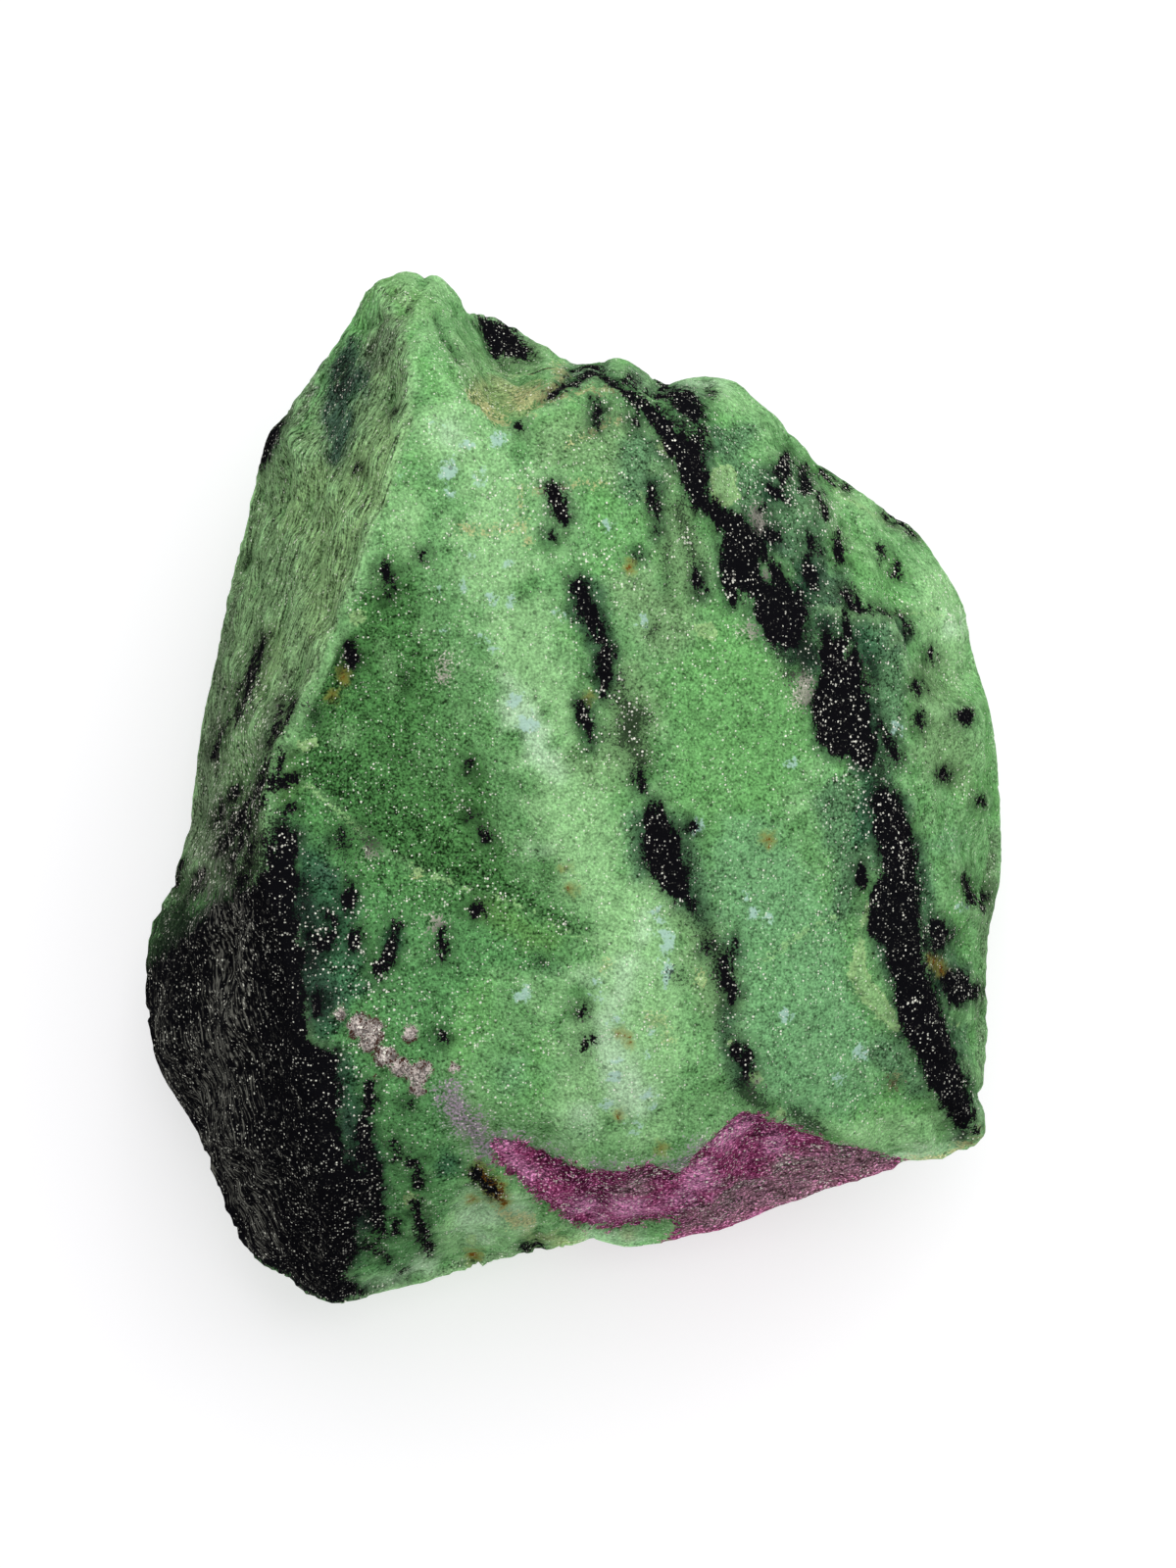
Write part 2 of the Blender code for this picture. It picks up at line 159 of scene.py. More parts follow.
SCOOP_SPOTS = [
    [(530, 435, 8)], [(402, 424, 4)], [(365, 480, 4)],
    [(487, 325, 5), (501, 336, 14), (513, 348, 26), (525, 358, 18), (538, 362, 8)],
    [(284, 434, 8), (278, 448, 14), (270, 462, 14), (266, 472, 10)],
    [(392, 578, 5), (395, 590, 13), (397, 602, 9), (394, 610, 4)],
    [(354, 661, 9), (357, 670, 18), (355, 678, 8)], [(430, 567, 7)], [(479, 780, 5), (480, 786, 4)],
    [(480, 833, 5)], [(493, 848, 5), (496, 857, 7)], [(485, 928, 14)], [(288, 800, 7), (297, 794, 9)],
    [(295, 824, 9)], [(346, 850, 4), (348, 862, 7)],
]
NEEDLES = [
    [(356, 904, 6), (355, 915, 13), (355, 925, 7)], [(335, 932, 8), (341, 941, 8)],
    [(318, 955, 8), (328, 962, 18), (337, 956, 10)], [(364, 946, 5), (363, 956, 15), (361, 967, 6)],
    [(403, 944, 7), (401, 955, 9), (397, 968, 10), (391, 978, 14), (385, 990, 14)],
    [(450, 948, 4), (450, 960, 8), (451, 975, 7)], [(322, 1015, 10), (322, 1030, 8)], [(448, 1058, 10)],
    [(415, 1125, 5)], [(376, 1106, 9), (376, 1120, 13), (375, 1133, 10)],
    [(371, 1148, 14), (372, 1165, 18), (374, 1180, 18), (380, 1196, 16), (382, 1210, 14), (383, 1228, 13),
     (384, 1246, 13), (388, 1258, 9)], [(402, 1162, 7), (405, 1171, 10), (403, 1178, 4)],
    [(416, 1184, 4), (424, 1186, 8), (426, 1196, 9), (426, 1204, 7)],
    [(424, 1224, 8), (426, 1236, 10), (428, 1248, 9), (431, 1260, 10), (435, 1270, 11), (437, 1276, 5)],
    [(402, 1243, 5), (403, 1254, 4)], [(592, 1030, 12)], [(596, 1067, 9), (600, 1060, 9)],
    [(372, 1268, 6), (385, 1274, 5), (396, 1281, 3)], [(412, 1295, 6)], [(535, 1270, 5), (550, 1268, 4)],
    [(484, 1196, 10), (494, 1205, 9), (504, 1216, 6)],
]
FLANK_STREAKS = [
    [(270, 650, 4), (264, 668, 6), (255, 690, 9), (249, 705, 11), (243, 722, 9), (238, 735, 5)],
    [(300, 715, 4), (290, 735, 6), (283, 750, 5)], [(285, 725, 4), (280, 745, 5), (275, 760, 5)],
    [(291, 766, 3), (284, 785, 5), (273, 805, 5), (262, 822, 5), (252, 842, 6), (243, 862, 6),
     (232, 888, 5)], [(273, 858, 7), (276, 882, 8)], [(228, 745, 3), (217, 770, 4)],
    [(206, 890, 5), (198, 912, 6)], [(186, 880, 4), (178, 902, 5)], [(250, 896, 8), (240, 915, 10)],
    [(274, 770, 6), (266, 795, 9), (255, 815, 10), (243, 835, 12), (232, 855, 12), (222, 870, 8)],
    [(240, 805, 6), (228, 822, 7), (220, 840, 6)], [(255, 862, 6), (254, 876, 8)],
]
BLACK_STROKES = MAIN_BAND + NEAR_BAND + RIGHT_SPOTS + SECOND_LINE + SCOOP_SPOTS + NEEDLES + FLANK_STREAKS
# Outline of the black corner of the flank.
BLACK_ZONE = [
    (281, 843), (292, 842), (304, 850), (304, 868), (298, 876), (303, 900), (301, 930), (300, 960),
    (310, 975), (306, 990), (308, 1020), (310, 1040), (312, 1060), (320, 1065), (340, 1072), (344, 1090),
    (345, 1120), (342, 1140), (346, 1160), (352, 1185), (385, 1200), (380, 1225), (362, 1240), (362, 1262),
    (366, 1275), (352, 1290), (350, 1302), (372, 1318), (380, 1420), (120, 1420), (60, 1100), (90, 1020),
    (140, 1000), (165, 975), (188, 952), (212, 930), (240, 912), (262, 898), (272, 885), (284, 872),
    (281, 858),
]
# Thin, smoky black in and round the zoisite's grains.
SMOKE_STROKES = [
    [(675, 420, 10), (690, 432, 14), (702, 440, 16)], [(795, 665, 14), (803, 690, 14)],
    [(746, 600, 16), (750, 612, 12)], [(805, 672, 12), (811, 686, 10)],
    [(630, 690, 8), (634, 715, 16), (646, 733, 34), (640, 750, 30), (648, 762, 22), (655, 776, 20),
     (652, 790, 8)], [(678, 560, 8), (680, 610, 8)], [(733, 1035, 8), (742, 1055, 8)], [(690, 995, 16)],
    [(550, 980, 14)], [(413, 690, 8), (413, 706, 6)], [(318, 722, 8), (321, 736, 12)],
    [(253, 562, 5), (250, 578, 5)], [(266, 852, 16), (266, 880, 24), (240, 895, 24)],
    [(280, 840, 26), (290, 850, 20)], [(496, 340, 4), (505, 358, 5), (516, 376, 5)],
    [(443, 325, 4), (452, 345, 5), (462, 358, 5), (470, 368, 5)], [(912, 1105, 14)],
    [(668, 640, 8), (662, 650, 8)], [(690, 520, 14), (705, 560, 14), (712, 575, 12)],
    [(815, 650, 22), (822, 668, 28), (816, 684, 12)], [(862, 600, 14), (868, 612, 16)],
    [(748, 598, 14), (752, 612, 10)], [(888, 675, 14), (892, 695, 14)],
    [(900, 775, 14), (897, 795, 14), (897, 808, 22)], [(838, 640, 20), (845, 650, 14)],
    [(945, 960, 20), (950, 975, 12)], [(900, 940, 14), (905, 955, 12)],
    [(712, 930, 12), (724, 955, 14), (734, 985, 18), (738, 1005, 18)], [(700, 870, 10), (703, 890, 14)],
    [(328, 958, 20)], [(346, 850, 8), (352, 868, 12)], [(364, 844, 8), (380, 864, 12)], [(325, 1020, 24)],
    [(310, 900, 16), (312, 940, 16), (318, 985, 20)], [(360, 1172, 16)], [(372, 1215, 24), (374, 1245, 20)],
    [(487, 1192, 12), (499, 1207, 14)], [(655, 1196, 10), (610, 1196, 10)],
    [(757, 1106, 24), (766, 1118, 28), (778, 1128, 22)],
    [(806, 1132, 16), (826, 1143, 22), (838, 1152, 12)], [(620, 750, 10)],
]

# Ruby, its darker, greyer and lighter places, and the lilac fringe at its end.
RUBY_OUTLINE = [
    (502, 1164), (515, 1161), (530, 1160), (550, 1170), (570, 1180), (585, 1190), (600, 1197), (620, 1193),
    (650, 1187), (665, 1186), (680, 1192), (690, 1197), (700, 1190), (715, 1170), (737, 1150), (752, 1136),
    (760, 1133), (775, 1135), (785, 1143), (800, 1145), (815, 1150), (830, 1157), (850, 1165), (870, 1170),
    (890, 1174), (910, 1180), (935, 1186), (960, 1240), (800, 1330), (660, 1330), (676, 1266), (688, 1250),
    (690, 1240), (665, 1242), (650, 1245), (630, 1250), (605, 1252), (590, 1250), (575, 1243), (560, 1230),
    (540, 1213), (525, 1200), (512, 1190), (503, 1182),
]
RUBY_DARK = [
    [(764, 1140, 16), (776, 1152, 14)], [(652, 1192, 12), (646, 1202, 8)], [(742, 1226, 9), (752, 1220, 9)],
    [(560, 1186, 16), (590, 1205, 24), (600, 1228, 26), (622, 1212, 20)],
    [(742, 1216, 14), (758, 1206, 12)], [(625, 1196, 12), (655, 1196, 16), (685, 1200, 14)],
    [(700, 1222, 14)], [(850, 1170, 8), (880, 1175, 8), (912, 1182, 6)],
]
RUBY_GREY = [
    [(800, 1196, 36), (850, 1188, 36), (900, 1186, 20)],
    [(720, 1240, 24), (770, 1222, 30), (820, 1206, 30)], [(636, 1214, 12), (654, 1210, 18)],
    [(735, 1222, 12), (756, 1208, 12)], [(700, 1246, 20)],
]
RUBY_LIGHT = [
    [(508, 1171, 16), (524, 1170, 12)], [(632, 1232, 14), (648, 1230, 18)],
    [(704, 1205, 22), (718, 1198, 18)], [(790, 1167, 18)], [(520, 1178, 14), (545, 1196, 12)],
    [(590, 1234, 12), (612, 1242, 12)], [(760, 1150, 14), (740, 1166, 12)],
    [(670, 1232, 10), (700, 1216, 10)],
]
FRINGE = [
    [(486, 1164, 14), (498, 1172, 16), (512, 1162, 14), (530, 1166, 12)],
    [(458, 1112, 16), (468, 1136, 20), (484, 1152, 18)], [(540, 1170, 10), (570, 1184, 8)],
    [(610, 1192, 5), (690, 1192, 6), (716, 1168, 6)],
]

# The rim of the stone on the plan, clockwise from the tip.
RIM = [
    (361, 320), (366, 310), (373, 299), (380, 292), (390, 287), (400, 284), (408, 280), (418, 279),
    (426, 280), (432, 285), (440, 283), (448, 284), (456, 288), (464, 296), (470, 305), (476, 314),
    (482, 319), (498, 322), (508, 327), (520, 334), (532, 340), (545, 349), (556, 355), (568, 364),
    (578, 371), (585, 375), (595, 373), (608, 373), (618, 369), (628, 367), (638, 369), (648, 375),
    (656, 381), (664, 386), (672, 391), (678, 394), (686, 391), (698, 388), (712, 387), (728, 387),
    (742, 389), (752, 393), (762, 401), (772, 411), (780, 418), (792, 427), (802, 440), (812, 449),
    (824, 463), (832, 474), (842, 480), (856, 489), (872, 500), (892, 514), (902, 522), (915, 530),
    (932, 541), (948, 561), (960, 580), (973, 600), (983, 621), (987, 640), (990, 660), (995, 680),
    (1002, 700), (1008, 720), (1012, 740), (1015, 760), (1017, 780), (1018, 800), (1020, 840), (1021, 880),
    (1019, 900), (1015, 920), (1010, 940), (1007, 960), (1006, 1000), (1007, 1040), (1006, 1080),
    (1003, 1100), (1001, 1120), (1006, 1136), (1006, 1150), (1002, 1160), (990, 1170), (963, 1180),
    (940, 1184), (921, 1184), (910, 1191), (877, 1202), (847, 1209), (813, 1223), (793, 1228), (773, 1237),
    (753, 1246), (733, 1253), (703, 1258), (678, 1265), (640, 1270), (623, 1267), (605, 1261), (580, 1268),
    (560, 1272), (533, 1277), (507, 1285), (480, 1292), (450, 1301), (417, 1310), (393, 1317), (363, 1326),
    (343, 1328), (327, 1324), (307, 1315), (293, 1301), (277, 1293), (262, 1285), (247, 1267), (233, 1243),
    (227, 1222), (217, 1200), (210, 1177), (200, 1152), (187, 1132), (180, 1120), (167, 1100), (158, 1080),
    (153, 1057), (149, 1033), (147, 1000), (149, 970), (155, 940), (163, 922), (175, 900), (181, 880),
    (188, 858), (194, 838), (195, 820), (198, 800), (202, 765), (206, 735), (214, 700), (221, 668),
    (227, 633), (234, 600), (242, 565), (250, 540), (254, 515), (258, 500), (264, 470), (268, 455),
    (275, 440), (286, 429), (296, 415), (306, 402), (318, 386), (330, 368), (342, 350), (352, 335),
]

# Outlines of large areas: the scoop, its lower edge, the face below it, and the slate-green right side.
SCOOP = [
    (372, 590), (396, 573), (424, 586), (440, 620), (452, 660), (466, 700), (482, 740), (498, 775),
    (508, 810), (506, 845), (520, 875), (550, 910), (600, 958), (560, 960), (500, 930), (440, 910),
    (390, 880), (352, 850), (322, 820), (300, 780), (308, 740), (312, 700), (330, 660), (355, 640),
    (362, 612),
]
SCOOP_EDGE = [
    (285, 775), (300, 795), (319, 807), (345, 830), (369, 851), (400, 873), (424, 886), (455, 900),
    (480, 908), (525, 920), (571, 943), (605, 960),
]
BELOW_RIM = [
    (290, 800), (335, 815), (358, 842), (385, 864), (420, 887), (480, 908), (540, 926), (590, 955),
    (560, 990), (500, 985), (470, 1010), (455, 1060), (450, 1100), (465, 1160), (470, 1200), (450, 1250),
    (400, 1300), (340, 1300), (300, 1000), (262, 850),
]
RIGHT_SLATE = [
    (742, 470), (775, 478), (800, 462), (835, 500), (846, 545), (848, 590), (838, 610), (872, 624),
    (925, 632), (926, 700), (920, 760), (912, 800), (940, 830), (880, 900), (866, 860), (868, 800),
    (880, 740), (880, 680), (862, 650), (826, 655), (822, 600), (792, 566), (752, 520),
]

# Washes of colour on the zoisite, laid on in this order:
# (paint, strength, softness of the edge in millimetres, strokes, outlines).
WASHES = [
    ("vivid", 0.7, 0.9, [
        [(690, 700, 60), (760, 740, 150), (740, 800, 120)], [(480, 1030, 60), (470, 1060, 40)],
        [(560, 430, 40), (600, 425, 40)], [(860, 560, 50), (900, 590, 40)],
        [(930, 1120, 70), (870, 1140, 60)], [(430, 370, 16), (445, 390, 36)],
    ], []),
    ("pale", 0.75, 0.9, [
        [(735, 400, 16), (770, 420, 10)], [(955, 590, 36), (965, 640, 50), (970, 690, 36)],
        [(455, 440, 60), (505, 500, 50), (505, 580, 80)], [(560, 500, 40), (575, 540, 20)],
        [(415, 520, 30), (410, 560, 20)], [(530, 640, 70), (545, 700, 60)],
        [(560, 700, 60), (590, 760, 50)], [(575, 800, 70), (590, 860, 80), (600, 900, 60)],
        [(650, 930, 90), (650, 1000, 100), (635, 1080, 120), (570, 1150, 40)],
        [(420, 290, 20), (445, 295, 18)], [(470, 1245, 70), (520, 1238, 50)],
        [(400, 1292, 30), (430, 1286, 20)], [(590, 392, 14), (620, 394, 8)],
        [(310, 760, 20), (345, 752, 14)], [(830, 505, 10), (850, 545, 10), (890, 570, 8)],
        [(860, 500, 12), (900, 530, 14)], [(660, 640, 50), (650, 600, 40)],
        [(930, 1166, 26), (880, 1158, 24), (965, 1140, 30)],
        # From the run that starts at (500, 329) to the end of the next line, the strokes along the top rim
        # are painted highlights.
        [(690, 1140, 50), (640, 1165, 40), (590, 1165, 30)], [(500, 329, 10), (530, 343, 8), (560, 358, 6)],
        [(582, 378, 10), (604, 378, 8)], [(650, 384, 12), (690, 396, 12), (740, 394, 10)],
    ], []),
    ("milk", 0.65, 0.8, [
        [(520, 700, 20), (532, 730, 34), (545, 755, 30), (565, 785, 22)], [(640, 990, 26), (615, 1040, 26)],
        [(625, 1070, 30), (640, 1110, 40), (655, 1128, 30)], [(460, 440, 26)], [(552, 870, 16)],
        [(970, 640, 16)], [(600, 1000, 16)], [(590, 1145, 34)], [(655, 950, 20)],
        [(972, 1168, 8), (930, 1178, 8), (900, 1180, 4)], [(997, 1150, 14), (1001, 1130, 10)],
        # The two runs on this line and the first on the next, along the top rim, are painted highlights.
        [(590, 377, 8), (612, 376, 6)], [(655, 382, 10), (690, 393, 10), (738, 391, 10)],
        [(492, 322, 10), (520, 335, 10), (545, 349, 8)], [(380, 1306, 16), (440, 1290, 14)],
        [(485, 1242, 40), (525, 1233, 26)], [(600, 1258, 10), (650, 1262, 10)],
    ], []),
    ("milk", 0.5, 0.8, [
        [(630, 1075, 44), (642, 1112, 34)], [(532, 730, 30), (548, 762, 22)],
        [(400, 1290, 26), (425, 1284, 16)],
    ], []),
    ("dull", 0.8, 0.8, [
        [(680, 640, 60), (640, 600, 30)], [(945, 690, 40), (965, 770, 60)], [(600, 770, 50)],
        [(560, 450, 50), (620, 450, 70), (670, 480, 60)], [(690, 530, 50), (700, 590, 50)],
        [(560, 350, 20), (520, 380, 50)], [(470, 350, 16), (490, 385, 40)],
        [(640, 700, 60), (640, 770, 60)], [(700, 930, 40), (730, 1000, 60), (750, 1060, 30)],
        [(470, 1130, 50), (500, 1160, 30)],
    ], []),
    ("cool", 0.7, 0.9, [
        [(760, 870, 90), (800, 960, 110), (830, 1080, 130)], [(520, 1090, 30)], [(960, 860, 40)],
    ], []),
    ("slate", 0.92, 0.55, [
        [(700, 425, 18)], [(742, 455, 36), (768, 440, 16)], [(745, 475, 24)],
        [(650, 470, 44), (650, 500, 30)], [(720, 470, 20), (735, 530, 14)],
        [(650, 840, 24), (652, 890, 24)], [(950, 950, 34), (965, 990, 44)],
        [(852, 590, 30), (850, 630, 26)], [(826, 668, 24)], [(905, 1070, 40), (935, 1110, 26)],
        [(975, 1050, 26), (985, 1100, 14)], [(935, 860, 26), (945, 960, 34)], [(845, 860, 18)],
        [(855, 820, 50), (868, 870, 36), (862, 930, 24)], [(690, 850, 50), (716, 930, 40)],
        [(738, 1040, 20), (752, 1100, 24)], [(600, 610, 34), (620, 690, 24)], [(560, 980, 24)],
    ], [RIGHT_SLATE]),
    ("sea", 0.9, 0.6, [], [BELOW_RIM]),
    ("deep", 0.6, 0.6, [
        [(300, 810, 30), (335, 850, 34), (375, 880, 34), (420, 905, 30), (490, 925, 30), (560, 955, 20)],
        [(315, 825, 40), (345, 850, 60), (370, 865, 40)],
        [(600, 1180, 10), (660, 1178, 10), (695, 1184, 10)],
    ], []),
    ("green", 0.6, 0.6, [
        [(540, 1180, 30)], [(700, 1140, 60), (690, 1110, 30)], [(480, 1120, 30), (620, 1170, 30)],
    ], []),
    ("teal", 0.9, 0.5, [
        [(318, 880, 40), (325, 930, 70), (335, 990, 70), (325, 1040, 44)],
        [(350, 1090, 26), (355, 1140, 34), (372, 1190, 36)], [(365, 1240, 36)], [(400, 960, 24)],
        [(455, 1185, 26)], [(880, 650, 26), (888, 690, 12)], [(360, 1005, 30)], [(790, 500, 24)],
        [(826, 580, 12), (815, 600, 26)], [(805, 665, 24)], [(890, 800, 24), (880, 850, 20)],
        [(840, 640, 20)], [(760, 596, 12)],
    ], []),
    ("hollow", 0.7, 0.7, [
        [(812, 655, 30), (825, 680, 26)], [(912, 655, 26)], [(888, 732, 20)],
        [(845, 600, 24), (852, 625, 26)], [(832, 575, 16), (838, 600, 16)],
        [(898, 965, 20), (905, 990, 16)], [(770, 545, 12), (800, 560, 14)],
        [(955, 985, 20), (975, 1010, 40)], [(320, 728, 26)],
        [(310, 900, 20), (315, 960, 30), (325, 1020, 40)], [(352, 1140, 14), (362, 1180, 24)],
        [(372, 1230, 36)], [(330, 860, 20), (330, 895, 24)],
    ], []),
    ("ashen", 0.7, 0.3, [
        [(1014, 850, 8), (1012, 900, 12), (1004, 950, 12), (1001, 1000, 8), (1001, 1060, 8),
         (1000, 1105, 8)], [(976, 1164, 8), (990, 1155, 12), (1000, 1142, 8)],
        [(900, 530, 6), (935, 552, 6)],
        [(560, 1268, 6), (510, 1281, 9), (460, 1295, 9), (420, 1307, 9), (380, 1317, 9), (345, 1325, 9),
         (300, 1315, 8)],
    ], []),
    ("sand", 0.45, 0.5, [
        [(498, 394, 20), (520, 405, 24), (548, 405, 14)], [(540, 1262, 10), (590, 1262, 8)],
        [(640, 1258, 10)],
    ], []),
    ("moss", 0.6, 0.6, [
        [(395, 290, 30), (420, 310, 40)], [(300, 770, 20), (290, 820, 16)],
        [(560, 960, 30), (500, 930, 24)],
    ], []),
]
SCOOP_WASHES = [
    ("deep", 0.95, 1.3, [[(590, 700, 10), (590, 750, 20)]], [SCOOP]),
    # Painted shade: the shadow washes along the scoop's lower edge.
    ("shadow", 0.85, 0.5, [
        [(350, 690, 30), (322, 730, 16)],
        [(330, 770, 40), (360, 815, 60), (420, 865, 54), (500, 905, 34), (580, 948, 22)],
    ], []),
    ("shadow", 0.6, 0.25, [
        [(330, 804, 12), (372, 845, 14), (404, 868, 14), (428, 880, 14), (458, 893, 14), (484, 901, 12),
         (530, 914, 10)],
    ], []),
    ("green", 0.30, 0.9, [[(440, 620, 30), (470, 700, 50), (450, 780, 50)], [(540, 890, 24)]], []),
    ("pale", 0.35, 0.5, [
        [(390, 660, 14), (400, 700, 12)], [(350, 750, 24)], [(430, 640, 14)], [(470, 730, 12)],
    ], []),
]
# On the flank, which faces away from the key light, these washes are its own greyer greens and partly painted
# shade.
FLANK_WASHES = [
    ("dim", 0.9, 0.8, [
        [(430, 330, 90), (390, 420, 110), (340, 520, 200), (300, 640, 200), (270, 740, 160),
         (235, 850, 110)],
    ], []),
    ("sage", 0.7, 0.7, [
        [(410, 440, 40), (370, 500, 60), (340, 560, 50), (320, 640, 30)], [(325, 490, 40), (300, 530, 30)],
        [(285, 650, 20), (275, 700, 20)], [(385, 380, 14)],
    ], []),
    ("ashen", 0.85, 0.6, [
        [(395, 340, 20), (380, 370, 24)],
        [(236, 600, 16), (226, 660, 16), (216, 720, 18), (210, 780, 26), (205, 860, 36)],
        [(290, 690, 8), (270, 760, 14)], [(190, 900, 40), (225, 890, 40), (240, 850, 40)],
        [(330, 370, 10), (300, 410, 20), (275, 460, 14)],
    ], []),
    ("hollow", 0.95, 0.5, [
        [(356, 350, 16), (352, 385, 44), (345, 430, 40), (342, 465, 20)], [(275, 450, 26)],
    ], []),
]

# Soot: black streaks that thicken towards the hornblende, down the flank.
SOOT_STROKES = [
    [(275, 765, 4), (262, 800, 10), (250, 850, 10)], [(225, 915, 30), (215, 965, 100)],
    [(190, 915, 16), (180, 940, 50), (165, 985, 60), (140, 1040, 60)], [(350, 370, 10), (345, 400, 14)],
]
# Places crowded with glints, which are painted highlights, and grey fibres in the hornblende.
SPARKLE_STROKES = [
    [(500, 500, 30), (535, 500, 44), (555, 540, 20)], [(590, 570, 20), (640, 575, 20)],
    [(470, 540, 10), (520, 540, 14)], [(955, 590, 16), (985, 640, 12)],
    [(630, 700, 30), (660, 760, 34), (690, 800, 20)], [(560, 930, 20), (600, 950, 20)],
    [(770, 1165, 20), (800, 1160, 24)], [(800, 480, 30), (790, 505, 20)], [(740, 600, 20)],
    [(540, 475, 20)], [(902, 828, 26), (912, 860, 30), (916, 885, 20)], [(905, 945, 14)], [(872, 752, 18)],
    [(285, 860, 24)], [(806, 615, 22)], [(848, 655, 20), (858, 680, 24), (852, 740, 30)],
    [(928, 1000, 24), (936, 1030, 20)], [(700, 540, 20), (690, 590, 20)], [(450, 350, 16), (475, 400, 10)],
    [(262, 700, 20), (245, 760, 40), (235, 830, 50), (225, 880, 50)],
    [(340, 960, 60), (400, 1020, 50), (345, 1110, 40)], [(480, 1040, 40)], [(770, 500, 40), (840, 530, 40)],
    [(880, 800, 40)], [(960, 850, 30)], [(640, 420, 30)],
    [(560, 1200, 40), (620, 1225, 40), (700, 1210, 50), (770, 1170, 50), (860, 1190, 40)],
]
FIBRE_STROKES = [
    [(215, 880, 40), (225, 930, 50), (240, 1000, 50), (225, 1070, 80), (225, 1140, 70), (248, 1210, 50),
     (268, 1255, 40)], [(160, 1000, 20), (165, 1060, 20), (190, 1120, 16)],
    [(295, 1302, 20), (335, 1322, 20), (380, 1316, 14), (420, 1300, 10)],
]

# Small patches of other minerals and dirt.
CRUST_STROKES = [
    [(345, 1033, 14)], [(365, 1045, 26)], [(378, 1050, 28)], [(374, 1062, 22)], [(393, 1075, 24)],
    [(408, 1086, 22)], [(425, 1093, 24)], [(432, 1088, 18)], [(425, 1108, 16)], [(418, 1052, 17)],
    [(462, 1088, 12)], [(386, 1098, 6)],
]
SMEAR_STROKES = [
    [(820, 695, 16), (818, 712, 20)], [(765, 645, 14)], [(452, 676, 8), (452, 692, 9)], [(445, 941, 15)],
    [(377, 868, 13)], [(770, 524, 14), (775, 542, 16)], [(781, 588, 9)], [(862, 663, 6)], [(768, 1104, 10)],
]
RUST_STROKES = [
    [(487, 1190, 8), (492, 1200, 14), (503, 1210, 18), (512, 1224, 10)], [(480, 1222, 6)], [(482, 1280, 9)],
    [(782, 857, 9)], [(950, 978, 6), (962, 992, 8)], [(632, 1053, 6), (642, 1063, 3)], [(582, 907, 6)],
    [(577, 885, 4)], [(349, 686, 5), (350, 694, 6)], [(338, 711, 6)], [(631, 1133, 5)], [(674, 1170, 6)],
    [(684, 452, 6)], [(643, 580, 7)], [(600, 713, 4)],
]
SAND_STROKES = [
    [(485, 402, 10), (500, 415, 14), (515, 428, 12)],
    [(530, 405, 14), (545, 402, 14), (560, 398, 12), (575, 388, 8), (568, 378, 8)],
    [(465, 540, 3), (480, 541, 3), (500, 545, 3), (520, 540, 3), (530, 537, 3)],
    [(530, 500, 2), (533, 540, 2), (537, 555, 2)],
    [(580, 455, 3), (600, 447, 3), (615, 437, 3), (632, 430, 3)],
    [(545, 500, 2), (600, 495, 2), (615, 495, 2)],
    [(540, 417, 4), (560, 408, 4), (600, 400, 4), (640, 402, 4)],
    [(655, 1238, 2), (675, 1231, 3), (690, 1222, 2)], [(733, 1215, 2), (762, 1209, 2), (792, 1203, 2)],
    [(790, 1223, 2), (812, 1212, 3), (850, 1203, 2)], [(700, 1250, 2), (725, 1242, 2)],
    [(640, 1224, 3), (622, 1231, 2)], [(512, 1234, 12), (526, 1241, 15), (538, 1244, 13)], [(418, 1220, 9)],
    [(425, 888, 7)], [(617, 985, 8)], [(662, 1040, 7), (674, 1041, 7)], [(680, 1055, 8)], [(715, 998, 8)],
    [(780, 1170, 4), (795, 1165, 5)], [(910, 1107, 8), (916, 1100, 6)],
    [(925, 1181, 3), (950, 1180, 4), (975, 1173, 4), (992, 1163, 4), (1002, 1151, 4)],
]
# Outlines of the larger loose flakes.
FLAKES = [
    [(724, 482), (732, 478), (742, 476), (752, 487), (748, 496), (756, 508), (742, 518), (728, 514),
     (722, 500)], [(664, 458), (680, 448), (688, 458), (686, 470), (676, 466)],
    [(705, 640), (728, 635), (731, 648), (724, 655), (714, 650)],
    [(882, 917), (888, 930), (885, 940), (877, 948), (876, 938), (880, 925)],
    [(876, 950), (880, 958), (881, 972), (883, 988), (890, 1000), (901, 1014), (910, 1030), (920, 1048),
     (915, 1054), (905, 1045), (895, 1038), (885, 1024), (873, 1012), (868, 998), (869, 980), (872, 963)],
]
FLAKE_STROKES = [
    [(480, 1262, 12)], [(418, 1220, 10)], [(425, 888, 8)], [(617, 985, 9)],
    [(662, 1040, 8), (674, 1040, 8)], [(680, 1055, 9)], [(715, 998, 9)], [(363, 630, 16)],
    [(310, 762, 12), (320, 758, 8)], [(770, 1098, 15)], [(742, 1063, 7)], [(797, 1133, 9)],
    [(975, 1042, 7)],
]
# Thin pale lines: veins, and in the third to fifth runs painted highlights along the scoop's lower edge.
VEINS_AND_RIM_HIGHLIGHTS = [
    [(775, 980, 4), (800, 965, 4), (820, 950, 4), (845, 938, 4), (858, 932, 4)],
    [(903, 627, 3), (960, 628, 3)],
    [(290, 782, 2), (300, 795, 2), (319, 806, 2), (345, 829, 3), (369, 850, 3)],
    [(420, 884, 3), (455, 899, 3), (480, 907, 2)], [(505, 912, 2), (540, 928, 1), (605, 962, 2)],
    [(640, 500, 2), (660, 512, 2)], [(850, 500, 2), (885, 524, 3), (905, 534, 2)],
]
